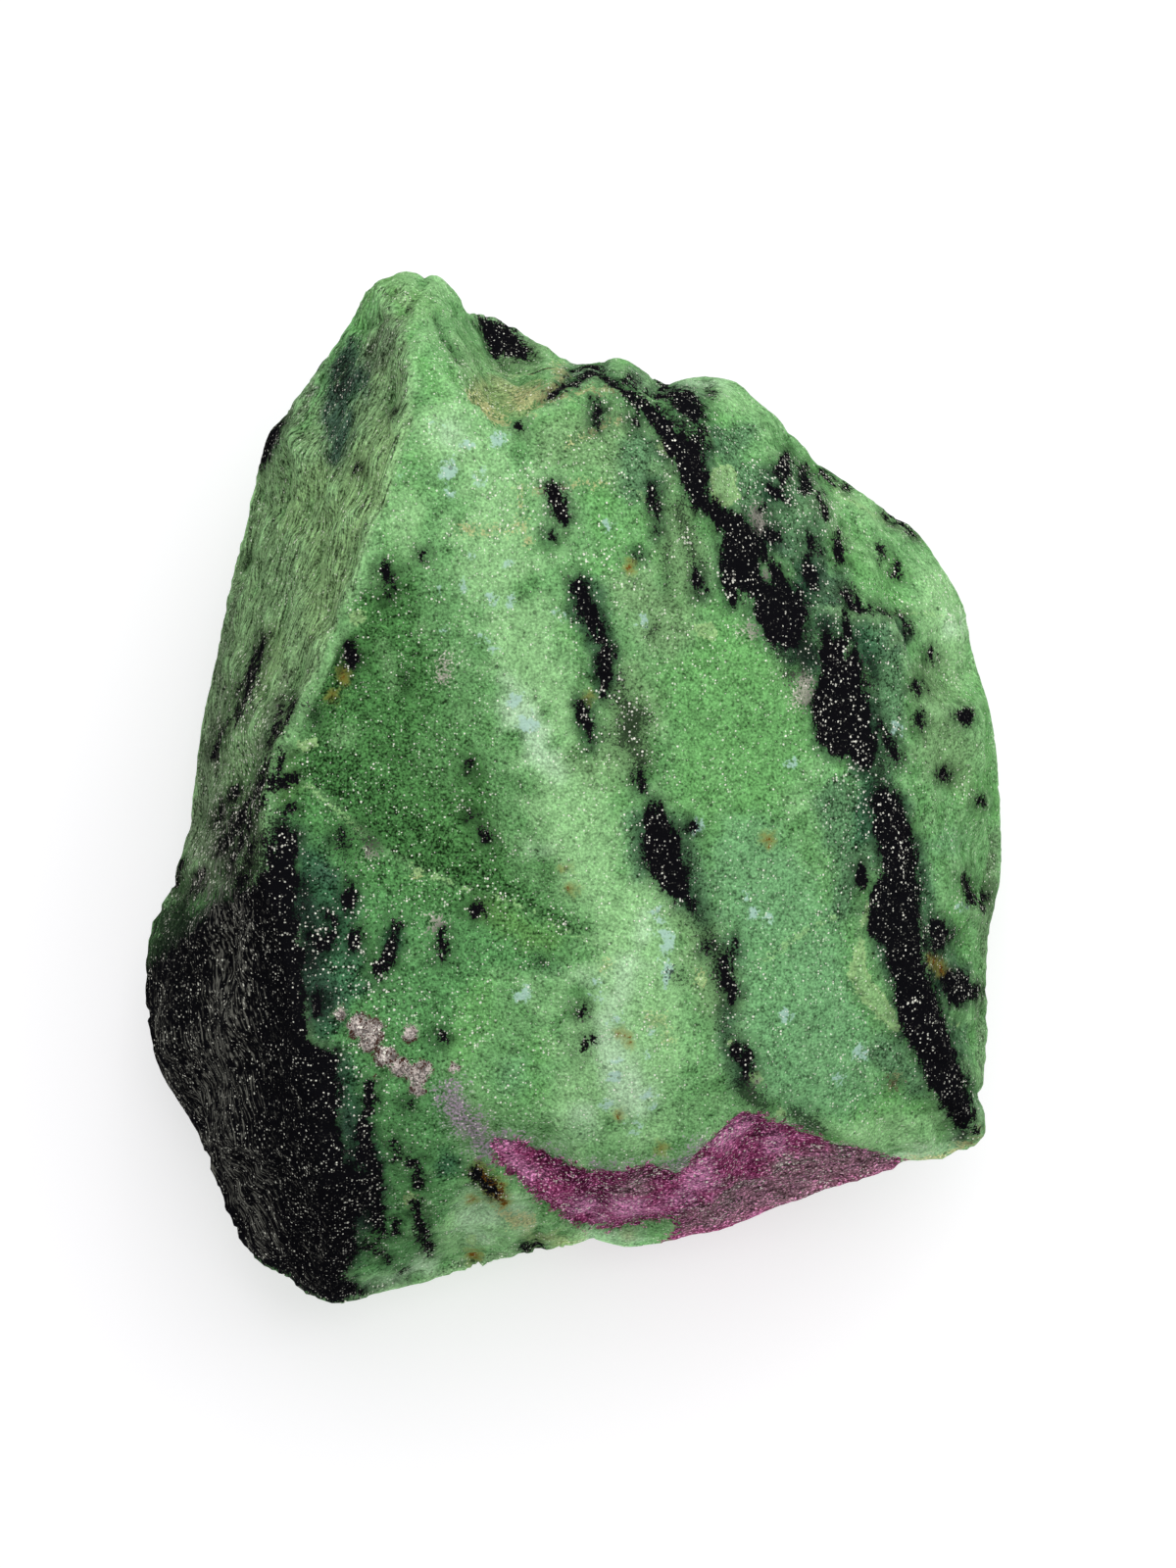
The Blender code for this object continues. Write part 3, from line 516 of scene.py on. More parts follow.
ICE_STROKES = [
    [(442, 435, 8)], [(475, 455, 12)], [(508, 450, 14)], [(457, 480, 22)], [(460, 505, 8)],
    [(490, 488, 10)], [(415, 493, 5)], [(480, 570, 8)], [(498, 610, 12)], [(520, 575, 8)], [(520, 615, 8)],
    [(500, 660, 10)], [(490, 655, 8)], [(525, 715, 16)], [(540, 740, 20)], [(470, 600, 8)],
    [(620, 540, 10)], [(655, 635, 12)], [(570, 625, 12)], [(455, 645, 8)], [(446, 605, 8)],
    [(668, 930, 10), (680, 960, 12), (678, 1000, 8)], [(607, 1000, 10)], [(608, 1015, 8)],
    [(628, 1040, 10)], [(665, 1050, 8)], [(663, 1075, 8)], [(628, 1078, 8)], [(533, 1014, 14)],
    [(625, 1095, 12)], [(660, 1115, 10)], [(668, 1125, 8)], [(645, 1146, 12)], [(620, 1125, 12)],
    [(762, 915, 8)], [(768, 930, 12)], [(780, 938, 10)], [(807, 778, 10)], [(712, 843, 14)],
    [(858, 665, 7)], [(980, 925, 7)], [(875, 1075, 12)], [(800, 1035, 12)], [(855, 1098, 8)],
    [(915, 745, 8)],
]

# A scarp steps up to the right of its run and dies away: (run, height, reach), in plan units and millimetres.
SCARPS = [
    ([(876, 915), (874, 950), (870, 985), (876, 1012), (896, 1040), (915, 1054)], -0.30, 1.6),
    ([(860, 622), (890, 626), (925, 629), (962, 628)], 0.28, 1.8),
    ([(650, 403), (600, 401), (560, 409), (540, 418)], -0.30, 1.6),
    ([(530, 440), (505, 440), (490, 416), (455, 415)], -0.35, 1.6), (SCOOP_EDGE, -0.26, 1.3),
    ([(512, 1160), (550, 1168), (585, 1188), (615, 1196), (665, 1184), (692, 1196), (716, 1168),
      (752, 1134), (785, 1142), (830, 1156), (890, 1173)], -0.25, 1.2),
    ([(455, 330), (445, 350), (425, 366)], 0.30, 1.4),
    ([(800, 470), (826, 500), (850, 535), (890, 562)], 0.16, 1.6),
    ([(512, 1192), (545, 1216), (575, 1244), (605, 1253), (685, 1241)], 0.18, 1.2),
    ([(465, 1262), (480, 1284), (500, 1286)], 0.20, 1.2),
]
# A fold stands up along its run, or is sunk where its height is negative: (run, height, half width).
FOLDS = [
    ([(443, 325), (452, 345), (462, 358), (470, 368)], -0.34, 0.30),
    ([(496, 340), (505, 358), (516, 376), (530, 388)], -0.34, 0.30),
    ([(432, 286), (424, 300), (410, 316)], -0.34, 0.30), ([(440, 288), (434, 305)], 0.14, 0.5),
    ([(412, 284), (402, 300)], 0.14, 0.5),
    ([(362, 334), (385, 328), (405, 322), (425, 314), (440, 304)], -0.26, 0.30),
    ([(406, 362), (418, 344), (432, 330)], -0.22, 0.25),
    ([(428, 344), (420, 372), (414, 400), (404, 440)], 0.22, 0.35),
    ([(446, 346), (460, 366), (472, 388), (478, 402)], 0.20, 0.25),
    ([(484, 350), (500, 376), (520, 396)], 0.12, 0.25), ([(470, 340), (488, 368), (504, 392)], -0.12, 0.20),
    ([(482, 398), (502, 414), (520, 424), (545, 413), (570, 402)], -0.30, 0.40),
    ([(560, 400), (585, 387), (612, 378), (640, 392), (668, 404)], -0.26, 0.30),
    ([(575, 398), (605, 388), (640, 402)], 0.16, 0.35), ([(672, 392), (670, 402)], -0.40, 0.45),
    ([(465, 540), (500, 545), (530, 537)], -0.12, 0.20), ([(533, 500), (537, 555)], -0.10, 0.20),
    ([(580, 455), (615, 437), (632, 430)], -0.14, 0.20),
    ([(380, 1308), (440, 1292), (500, 1278), (560, 1264)], -0.22, 0.30),
    ([(1008, 830), (1010, 870), (1005, 915)], -0.18, 0.25),
    ([(270, 700), (262, 760), (240, 820)], -0.16, 0.35),
    ([(330, 560), (312, 640), (296, 710)], -0.16, 0.35),
    ([(400, 430), (365, 500), (345, 560), (350, 620)], 0.26, 0.45),
    ([(372, 440), (335, 520), (315, 590)], 0.16, 0.35),
    ([(320, 350), (300, 420), (285, 480), (262, 560)], 0.18, 0.40),
    ([(240, 600), (225, 680), (212, 760)], -0.14, 0.35),
    ([(356, 640), (325, 690), (300, 730), (280, 775)], 0.22, 0.35),
    ([(250, 880), (225, 960), (222, 1040)], 0.14, 0.5), ([(820, 480), (832, 505), (850, 540)], 0.16, 0.25),
    ([(806, 470), (822, 500), (838, 530)], -0.14, 0.25),
]
# Middle line of the flank's striae, from top to bottom: they all run side by side with it.
STRIAE_LINE = [
    (430, 300), (400, 400), (345, 540), (300, 680), (262, 790), (232, 880), (218, 960), (222, 1040),
    (235, 1100), (255, 1180), (280, 1240), (320, 1310),
]

# How far each part of the fine shape reaches, in millimetres except where it says otherwise.
RIM_MIDDLE = (600, 800)
RIM_STEPS = 360  # the rim is followed in this many directions round its middle
RIM_FADE = 0.62  # the sides move by the rim's full error, and places under this share of its reach don't
FLANK_WIDTH = 75  # from the striae's middle line to the flank's upper edge, in plan units
CALM_WAVES = 0.45  # share of the waves' height that the top of the stone doesn't have
CALM_CHIPS = 0.75  # share of the chips' height that it doesn't have
CHIP_SIZE = 1.9
CHIP_KEY = 7.3  # spreads the chips' centres, so that each tilts its own way
COMB_SQUEEZE = (1, 1, 0.09)  # the striae are this much longer than wide
KNOB_REACH = 0.7
KNOB_START = 0.15
KNOB_HEIGHT = 0.7  # mean share of the crust's height
LEAF_SQUEEZE = (0.16, 1.0, 1.0)
LEAF_LEAN = (0, -0.2, 0)
WORN_DEPTH = 0.06  # the hornblende is worn this much deeper than the zoisite
BULGE_PASSES = 10

# Where something starts and where it is full. The first group is in shares of the normal.
TOP_SLOPES = (0.55, 0.85)
FLANK_SLOPES = (0.30, 0.62)
FRONT_SLOPES = (0.15, 0.6)
FLANK_EDGE = (0, 30)  # in plan units
SHOWN_DEPTHS = (-1.2, -0.2)  # these and the next ones are in millimetres
SCARP_RISE = (0.0, 0.25)
FLAKE_RISE = (-0.1, 0.1)
LEAF_RISE = (-0.2, 0.4)
WORN_FALL = (-0.15, 0.15)
SCOOP_START = (-0.12, 0.12)
RIM_GLOW = (-0.9, 0.0)
SWARM_SHARES = (-0.15, 0.3)

# Layers of noise: (wave size in millimetres, strength, shift that makes it a noise of its own).
WAVES = [(2.6, 1.0, 1.3), (1.2, 0.55, 4.2), (0.7, 0.3, 8.1)]
STREAKS = [(0.9, 1.0, 2.2), (0.45, 0.6, 6.4)]
KNOB_GRAIN = [(0.55, 0.4, 5.5)]
LEAF_LAYERS = [(0.7, 1.0, 9.3)]
WORN_GRAIN = [(0.8, 1.0, 3.9)]
SWARMS = [(6.0, 1.0, 4.1)]
CLOUDS = [(4.6, 1.0, 2.0), (2.1, 0.6, 5.0)]
BLOTCHES = [(1.15, 1.0, 9.0), (0.62, 0.5, 12.0)]
SHIFT_SKEW = 1.7  # how much further a shift goes along y than along x

# The zoisite's own mottling: (paint, strength, share of the clouds, share of the blotches, start, full).
MOTTLING = [("vivid", 0.8, 1.0, 0.5, 0.0, 0.5), ("pale", 0.35, -0.4, 1.0, 0.15, 0.6),
            ("deep", 0.55, -1.0, -1.0, 0.2, 0.9)]
WASH_LOOSENESS = (0.55, 0.9)  # how much the clouds and the blotches loosen the edges of the washes
# The zoisite next to the black: (paint, strength, looseness, start, full).
BLACK_ZONE_HALO = ("hollow", 0.6, 0.6, -1.2, 0.1)
BAND_HALO = ("teal", 0.5, 0.6, -0.9, 0.1)
# The zoisite paler on proud edges, and painted shade in small hollows: (paint, strength, sign of the bulge,
# start, full).
BULGE_TINTS = [("pale", 0.45, 1, 0.03, 0.16), ("deep", 0.4, -1, 0.04, 0.16)]
GRIT_GREEN = 0.36  # a ground with this much green has grit of strength 1
GRIT_CURVE = 0.8
GRIT_RANGE = (0.5, 2.2)

# Marks that are kept as distances, and tints that fade in: (strokes, looseness of the edge, start, full).
DISTANCE_MARKS = {
    "smoke": SMOKE_STROKES, "fringe": FRINGE, "crust": CRUST_STROKES, "smear": SMEAR_STROKES,
    "rust": RUST_STROKES, "sand": SAND_STROKES, "vein_and_highlight": VEINS_AND_RIM_HIGHLIGHTS, "ice": ICE_STROKES, "soot": SOOT_STROKES,
}
TINTS = {
    "ruby_dark": (RUBY_DARK, 0.35, -0.5, 0.4),
    "ruby_grey": (RUBY_GREY, 0.35, -0.5, 0.4),
    "ruby_light": (RUBY_LIGHT, 0.525, -0.5, 0.5),
    "fibres": (FIBRE_STROKES, 0.525, -0.8, 0.8),
    "crowd": (SPARKLE_STROKES, 0.35, -0.6, 0.4),
}
CROWD_CLOUDS = 0.6  # how much the clouds crowd the glints, next to the blotches
CROWD_SHARES = (-0.6, 1.0)


def paint(red, green, blue):
    """The linear colour of a paint chart's numbers, each from 0 to 255."""
    shares = [number / 255 for number in (red, green, blue)]
    return [((share + 0.055) / 1.055) ** 2.4 if share > 0.04045 else share / 12.92 for share in shares]


def length_setting(name, description, default, soft_max):
    return FloatProperty(name=name, description=description, default=default, min=0.0, soft_max=soft_max,
                         subtype="DISTANCE", unit="LENGTH")


def strength_setting(name, description, default):
    return FloatProperty(name=name, description=description, default=default, min=0.0)


def colour_setting(name, description, default):
    return FloatVectorProperty(name=name, description=description, default=default, min=0.0, max=1.0, size=3,
                               subtype="COLOR")


class StoneSizes(bpy.types.PropertyGroup):
    """Sizes of the stone's fine surface."""

    cell: length_setting("Cell", "Cell of the even mesh that carries the surface", 0.34 * MM, 2 * MM)
    even_passes: IntProperty(name="Even passes", description="Smoothing that takes out the solid's facets",
                             default=7, min=0)
    unevenness: length_setting("Unevenness", "Height of the broken surface's waves", 0.16 * MM, MM)
    chips: length_setting("Chips", "Height of the small flat chips on the sides", 0.09 * MM, MM)
    striae: length_setting("Striae", "Depth of the flank's striae", 0.10 * MM, MM)
    crust: length_setting("Crust", "Height of the knobs of crust", 0.55 * MM, 2 * MM)
    flake: length_setting("Flakes", "Thickness of the loose flakes left on the face", 0.12 * MM, MM)
    leaves: length_setting("Leaves", "Depth of the ruby's leafy parting", 0.16 * MM, MM)


class StoneColours(bpy.types.PropertyGroup):
    """Colours of the stone's minerals."""

    green: colour_setting("Zoisite", "Middle green of the zoisite", paint(110, 161, 103))
    vivid: colour_setting("Vivid zoisite", "Stronger green in its blotches", paint(102, 160, 92))
    pale: colour_setting("Pale zoisite", "Milky green of the crest and rims", paint(148, 196, 136))
    milk: colour_setting("Milky zoisite", "Palest green", paint(180, 214, 176))
    dull: colour_setting("Dull zoisite", "Greyer green of the worn places", paint(112, 148, 100))
    cool: colour_setting("Cool zoisite", "Slightly bluer green of the lower face", paint(108, 158, 110))
    slate: colour_setting("Slate zoisite", "Grey blue-green round the bands on the right", paint(82, 120, 84))
    sea: colour_setting("Sea-green zoisite", "Cool green below the scoop", paint(82, 134, 80))
    deep: colour_setting("Deep zoisite", "Deep green of the scoop", paint(72, 120, 66))
    shadow: colour_setting("Shaded zoisite", "Darkest green, along the scoop's lower edge", paint(56, 96, 52))
    teal: colour_setting("Teal zoisite", "Blue-green next to the hornblende", paint(50, 88, 62))
    moss: colour_setting("Moss zoisite", "Yellower green", paint(94, 138, 74))
    # The flank's grey green, partly painted shade on the side that faces away from the key light.
    dim: colour_setting("Dim zoisite", "Grey green of the flank", paint(112, 141, 99))
    sage: colour_setting("Sage zoisite", "Lighter grey green on the flank's ridges", paint(128, 162, 108))
    ashen: colour_setting("Ashen zoisite", "Darker grey green, low on the flank", paint(91, 107, 83))
    hollow: colour_setting("Hollow", "Dark blue-green of the flank's hollow", paint(50, 72, 60))
    ice: colour_setting("Blue-white", "Small bluish patches", paint(172, 206, 196))
    black: colour_setting("Hornblende", "Black of the bands", paint(15, 15, 18))
    ash: colour_setting("Ash", "Grey fibres of the hornblende on the flank", paint(116, 116, 108))
    ruby: colour_setting("Ruby", "Purple red of the ruby", paint(136, 58, 98))
    maroon: colour_setting("Dark ruby", "Maroon of the ruby's darkest places", paint(74, 24, 52))
    rose: colour_setting("Light ruby", "Rose of the ruby's broken grains", paint(204, 134, 176))
    lilac: colour_setting("Fringe", "Grey lilac at the ruby's edge", paint(146, 124, 146))
    crust: colour_setting("Crust", "Pinkish grey of the crust", paint(172, 162, 156))
    # Brown of the crust's pits, darkest in its hollows as painted shade.
    pit_brown_and_shade: colour_setting("Crust pits", "Brown of the pits in the crust", paint(70, 48, 40))
    ochre: colour_setting("Ochre", "Yellow-brown of the lightest iron stain", paint(138, 128, 56))
    rust: colour_setting("Rust", "Brown iron stain", paint(112, 76, 24))
    sand: colour_setting("Sand", "Tan dirt in the cracks", paint(170, 166, 118))
    flake: colour_setting("Flake", "Yellow green of the loose flakes", paint(146, 182, 122))
    # Painted highlights: the colour of the glints, painted into the stone's colour.
    glint: colour_setting("Glint", "Cream of the cleavage glints", paint(255, 255, 240))


class StudioSettings(bpy.types.PropertyGroup):
    """The floor, the lights and the camera."""

    key: strength_setting("Key light", "Strength of the soft light from the upper right", 2.35)
    fill: strength_setting("Fill light", "Strength of the light from the left", 0.10)
    air: strength_setting("Room light", "Strength of the even light from all round", 0.36)
    floor: length_setting("Floor", "Side of the square floor", 4.0, 10.0)
    shade: colour_setting("Floor colour", "Colour of the floor", paint(180, 179, 182))
    glow: strength_setting("Floor glow", "How strongly the floor is lit from below", 0.62)


def settings(context):
    scene = context.scene
    return scene.stone_sizes, scene.stone_colours, scene.studio


# --- Places on the plan ---------------------------------------------------------------------------------


def vertex_values(stone, name):
    values = np.empty(len(stone.data.vertices) * 3)
    stone.data.vertices.foreach_get(name, values)
    return values.reshape(-1, 3)


def points_of(stone):
    return vertex_values(stone, "co") / MM


def normals_of(stone):
    return vertex_values(stone, "normal")


def move_to(stone, places):
    stone.data.vertices.foreach_set("co", (places * MM).ravel())
    stone.data.update()


def hidden_depths(stone, places):
    """How far each place lies behind the surface that the plan shows, in millimetres."""
    tree = BVHTree.FromPolygons(
        [Vector(place) for place in places], [tuple(face.vertices) for face in stone.data.polygons]
    )
    depths = np.zeros(len(places))
    for index, place in enumerate(places):
        way = Vector(place) - EYE
        reach = way.length
        hit = tree.ray_cast(EYE, way / reach, reach)
        if hit[3] is not None:
            depths[index] = max(0.0, reach - hit[3] - HIDDEN_FROM)
    return depths


def noise_at(places, size, shift):
    """Smooth noise from -1 to 1 at each place, with waves of the given size."""
    offset = Vector((shift, shift * SHIFT_SKEW, -shift))
    return np.array([noise.noise(Vector(place) / size + offset) for place in places])


def layered_noise(places, layers):
    return sum(strength * noise_at(places, size, shift) for size, strength, shift in layers)


def shrink_of(places):
    """How much wider a place's offset from the eye's axis looks than one at the plan's height."""
    return (EYE.z - PLAN_HEIGHT) / (EYE.z - places[:, 2])


def plan_of(places, depths):
    """Where each place lies on the plan. On the hidden side the marks lean and wander off with depth."""
    stray = np.minimum(depths * WANDER, MOST_WANDER)
    plan = []
    for axis, side in enumerate((1, -1)):
        seen = EYE[axis] + (places[:, axis] - EYE[axis]) * shrink_of(places)
        seen = seen + depths * LEAN[axis] + stray * noise_at(places, WANDER_SIZE, WANDER_SHIFTS[axis])
        plan.append(PLAN_ORIGIN[axis] + side * seen * PLAN_SCALE)
    return np.stack(plan, axis=1)


def along_segment(plan, start, end):
    """Each place's offset from the nearest point of a segment, and that point's share of its length."""
    run = end - start
    share = np.clip((plan - start) @ run / max(run @ run, TINY), 0.0, 1.0)
    return plan - start - share[:, None] * run, share


def stroke_distance(plan, strokes):
    """Millimetres inside the nearest stroke, negative outside it."""
    inside = np.full(len(plan), -FAR)
    for stroke in strokes:
        knots = np.array(stroke, float)
        if len(knots) == 1:
            knots = np.repeat(knots, 2, axis=0)
        for first, last in zip(knots, knots[1:]):
            margin = FAR * PLAN_SCALE + max(first[2], last[2]) / 2
            low = np.minimum(first[:2], last[:2]) - margin
            high = np.maximum(first[:2], last[:2]) + margin
            near = np.nonzero(((plan > low) & (plan < high)).all(axis=1))[0]
            offset, share = along_segment(plan[near], first[:2], last[:2])
            half_width = (first[2] + (last[2] - first[2]) * share) / 2
            depth = (half_width - np.hypot(offset[:, 0], offset[:, 1])) / PLAN_SCALE
            inside[near] = np.maximum(inside[near], depth)
    return inside


def outline_distance(plan, outline):
    """Millimetres inside a closed outline, negative outside it."""
    corners = np.array(outline, float)
    nearest = np.full(len(plan), FAR * PLAN_SCALE)
    crossings = np.zeros(len(plan), int)
    for first, last in zip(corners, np.roll(corners, -1, axis=0)):
        offset, _ = along_segment(plan, first, last)
        nearest = np.minimum(nearest, np.hypot(offset[:, 0], offset[:, 1]))
        spans = (first[1] > plan[:, 1]) != (last[1] > plan[:, 1])
        rise = last[1] - first[1] or TINY
        crossings += spans & (plan[:, 0] < first[0] + (plan[:, 1] - first[1]) * (last[0] - first[0]) / rise)
    return np.where(crossings % 2 == 1, nearest, -nearest) / PLAN_SCALE


def side_of_run(plan, run):
    """Millimetres from a run of points, positive to its right as drawn on the plan."""
    knots = np.array(run, float)
    best = np.full(len(plan), np.inf)
    signed = np.zeros(len(plan))
    for first, last in zip(knots, knots[1:]):
        offset, _ = along_segment(plan, first, last)
        far = np.hypot(offset[:, 0], offset[:, 1])
        step = last - first
        side = np.sign(step[0] * offset[:, 1] - step[1] * offset[:, 0])
        closer = far < best
        best = np.where(closer, far, best)
        signed = np.where(closer, side * far, signed)
    return signed / PLAN_SCALE


def smooth_step(values, low, high):
    share = np.clip((values - low) / (high - low), 0.0, 1.0)
    return share * share * (3 - 2 * share)


# --- The stone's fine shape -----------------------------------------------------------------------------


def deselect_all():
    bpy.ops.object.select_all(action="DESELECT")


def merged_copy():
    """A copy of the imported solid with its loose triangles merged."""
    stone = bpy.data.objects.new("stone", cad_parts[NODE].data.copy())
    bpy.context.scene.collection.objects.link(stone)
    deselect_all()
    stone.select_set(True)
    bpy.context.view_layer.objects.active = stone
    bpy.ops.mesh.customdata_custom_splitnormals_clear()
    bpy.ops.object.mode_set(mode="EDIT")
    bpy.ops.mesh.select_all(action="SELECT")
    bpy.ops.mesh.remove_doubles(threshold=0.001 * MM)
    bpy.ops.object.mode_set(mode="OBJECT")
    return stone


def even_out(stone, sizes):
    """Turns the faceted copy into an even, fine and smooth mesh."""
    cells = stone.modifiers.new("even mesh", "REMESH")
    cells.mode = "VOXEL"
    cells.voxel_size = sizes.cell
    bpy.ops.object.modifier_apply(modifier=cells.name)
    soften = stone.modifiers.new("softened facets", "SMOOTH")
    soften.factor = 0.5
    soften.iterations = sizes.even_passes
    bpy.ops.object.modifier_apply(modifier=soften.name)


def neighbour_mean(values, edges, counts):
    total = np.zeros_like(values)
    for axis in range(values.shape[1]):
        total[:, axis] = np.bincount(edges[:, 0], values[edges[:, 1], axis], len(values))
        total[:, axis] += np.bincount(edges[:, 1], values[edges[:, 0], axis], len(values))
    return total / counts[:, None]


def bulges_of(stone):
    """Millimetres that each place stands proud of its surroundings: negative in hollows."""
    places = points_of(stone)
    edges = np.empty(len(stone.data.edges) * 2, int)
    stone.data.edges.foreach_get("vertices", edges)
    edges = edges.reshape(-1, 2)
    counts = np.bincount(edges.ravel(), minlength=len(places)).astype(float)
    mean = places
    for _ in range(BULGE_PASSES):
        mean = neighbour_mean(mean, edges, counts)
    return ((places - mean) * normals_of(stone)).sum(axis=1)


def polar(offset):
    return np.arctan2(offset[:, 1], offset[:, 0]), np.hypot(offset[:, 0], offset[:, 1])


def trim_to_rim(stone):
    """Moves the sides in or out, so that the stone's outline follows the rim on the plan."""
    places = points_of(stone)
    offset = plan_of(places, np.zeros(len(places))) - RIM_MIDDLE
    turn, reach = polar(offset)
    slots = np.floor((turn / FULL_TURN + 0.5) * RIM_STEPS).astype(int) % RIM_STEPS
    now = np.zeros(RIM_STEPS)
    np.maximum.at(now, slots, reach)
    middles = ((np.arange(RIM_STEPS) + 0.5) / RIM_STEPS - 0.5) * FULL_TURN
    wanted = np.interp(middles, *polar(np.array(RIM, float) - RIM_MIDDLE), period=FULL_TURN)
    now_here = np.interp(turn, middles, now, period=FULL_TURN)
    wanted_here = np.interp(turn, middles, wanted, period=FULL_TURN)
    share = smooth_step(reach / now_here, RIM_FADE, 1.0)
    move = offset * ((wanted_here / now_here - 1.0) * share)[:, None]
    places[:, :2] += move * (1, -1) / PLAN_SCALE / shrink_of(places)[:, None]
    move_to(stone, places)


def from_striae(plan):
    """How far each place is to the right of the striae's middle line, in plan units."""
    line = np.array(STRIAE_LINE, float)
    return plan[:, 0] - np.interp(plan[:, 1], line[:, 1], line[:, 0])


def combed_places(places, plan):
    """Places squeezed along the striae, so that noise read at them runs in streaks."""
    return np.stack((from_striae(plan) / PLAN_SCALE, places[:, 2], -plan[:, 1] / PLAN_SCALE), axis=1)


def flank_share(normals, plan):
    """1 on the steep striated flank, fading to 0 where the stone turns up or to the right."""
    left = smooth_step(FLANK_WIDTH - from_striae(plan), *FLANK_EDGE)
    return smooth_step(-normals[:, 0], *FLANK_SLOPES) * left


def chip_heights(places):
    """Small flat chips, each tilted its own way."""
    heights = np.zeros(len(places))
    for index, place in enumerate(places):
        spot = Vector(place) / CHIP_SIZE
        centre = noise.voronoi(spot)[1][0]
        heights[index] = (spot - centre).dot(noise.cell_vector(centre * CHIP_KEY) - Vector((0.5, 0.5, 0.5)))
    return heights


def carve(stone, sizes, plan, depths, fields):
    """Works the fine relief into the stone: each place moves along its normal."""
    places = points_of(stone)
    normals = normals_of(stone)
    top = smooth_step(normals[:, 2], *TOP_SLOPES)
    shown = smooth_step(-depths, *SHOWN_DEPTHS)
    height = sizes.unevenness / MM * (1.0 - CALM_WAVES * top) * layered_noise(places, WAVES)
    height += sizes.chips / MM * (1.0 - CALM_CHIPS * top) * chip_heights(places)
    combed = combed_places(places, plan) * COMB_SQUEEZE
    height += sizes.striae / MM * fields["flank"] * layered_noise(combed, STREAKS)
    for run, step, reach in SCARPS:
        side = side_of_run(plan, run)
        fall = np.where(side > 0, np.exp(-side / reach), 0.0)
        height += shown * step * fall * smooth_step(side, *SCARP_RISE)
    for run, rise, half_width in FOLDS:
        height += shown * rise * np.exp(-((side_of_run(plan, run) / half_width) ** 2))
    knobs = np.sqrt(np.clip(fields["crust"] / KNOB_REACH + KNOB_START, 0.0, 1.0))
    height += shown * sizes.crust / MM * knobs * (KNOB_HEIGHT + layered_noise(places, KNOB_GRAIN))
    height += shown * sizes.flake / MM * smooth_step(fields["flake"], *FLAKE_RISE)
    leafy = places * LEAF_SQUEEZE + np.outer(places[:, 0], LEAF_LEAN)
    height += sizes.leaves / MM * smooth_step(fields["ruby"], *LEAF_RISE) * layered_noise(leafy, LEAF_LAYERS)
    worn = smooth_step(fields["black"], *WORN_FALL)
    height -= WORN_DEPTH * worn * (1.0 + layered_noise(places, WORN_GRAIN))
    moved = places + normals * height[:, None]
    moved[:, 2] = np.maximum(moved[:, 2], 0.0)
    move_to(stone, moved)


def fit_box(stone):
    """Keeps the stone's overall size, and its base on the ground."""
    low, high = (np.array(corner) / MM for corner in CAD_BOX)
    places = points_of(stone)
    now_low, now_high = places.min(axis=0), places.max(axis=0)
    move_to(stone, low + (places - now_low) * (high - low) / (now_high - now_low))


# --- The stone's fields and colours ---------------------------------------------------------------------


def mineral_fields(plan, normals):
    """Each mark's distance field, in millimetres inside it, and the flank's share."""
    fields = {name: stroke_distance(plan, strokes) for name, strokes in DISTANCE_MARKS.items()}
    black = np.maximum(stroke_distance(plan, BLACK_STROKES), outline_distance(plan, BLACK_ZONE))
    fields["black"] = np.minimum(black, -stroke_distance(plan, BAND_GAPS))
    fields["ruby"] = outline_distance(plan, RUBY_OUTLINE)
    flakes = [stroke_distance(plan, FLAKE_STROKES)] + [outline_distance(plan, flake) for flake in FLAKES]
    fields["flake"] = np.max(flakes, axis=0)
    fields["flank"] = flank_share(normals, plan)
    return fields


def tinted(ground, paint, share):
    return ground + (np.array(paint) - ground) * np.reshape(share, (-1, 1))


def washed(ground, paints, plan, washes, loose, limit=1.0):
    """The ground with each wash laid on it."""
    for name, strength, edge, strokes, areas in washes:
        inside = stroke_distance(plan, strokes)
        for area in areas:
            inside = np.maximum(inside, outline_distance(plan, area))
        share = limit * strength * smooth_step(inside + edge * loose, -edge, edge)
        ground = tinted(ground, getattr(paints, name), share)
    return ground


def ground_colours(plan, paints, fields, bulges, cloud, blotch):
    """The zoisite's colour at each place, with the painted highlights and shade that its washes and tints
    hold.
    """
    loose = WASH_LOOSENESS[0] * cloud + WASH_LOOSENESS[1] * blotch
    ground = np.tile(np.array(paints.green), (len(plan), 1))

    def haloed(ground, inside, name, strength, looseness, start, full):
        share = strength * smooth_step(inside + looseness * loose, start, full)
        return tinted(ground, getattr(paints, name), share)

    for name, strength, clouded, blotched, start, full in MOTTLING:
        share = strength * smooth_step(clouded * cloud + blotched * blotch, start, full)
        ground = tinted(ground, getattr(paints, name), share)
    ground = washed(ground, paints, plan, WASHES, loose)
    scooped = smooth_step(side_of_run(plan, SCOOP_EDGE), *SCOOP_START)
    ground = washed(ground, paints, plan, SCOOP_WASHES, loose, 1.0 - scooped)
    ground = haloed(ground, outline_distance(plan, BLACK_ZONE), *BLACK_ZONE_HALO)
    ground = haloed(ground, stroke_distance(plan, MAIN_BAND + SECOND_LINE), *BAND_HALO)
    # The flank's washes: its greyer greens, partly painted shade.
    ground = washed(ground, paints, plan, FLANK_WASHES, loose, fields["flank"])
    # Paler on proud edges, and painted shade: deeper green in small hollows.
    for name, strength, sign, start, full in BULGE_TINTS:
        ground = tinted(ground, getattr(paints, name), strength * smooth_step(sign * bulges, start, full))
    return ground


def grit_of(ground):
    """How strongly the fine grain shows: little on milky zoisite and most on the darkest."""
    return np.clip((GRIT_GREEN / ground[:, 1]) ** GRIT_CURVE, *GRIT_RANGE)


def floor_light(plan, normals):
    """Painted light: how much paler the stone's lower edge is painted, where the bright floor would light it.
    """
    near_rim = smooth_step(-outline_distance(plan, RIM), *RIM_GLOW)
    return near_rim * smooth_step(-normals[:, 1], *FRONT_SLOPES)


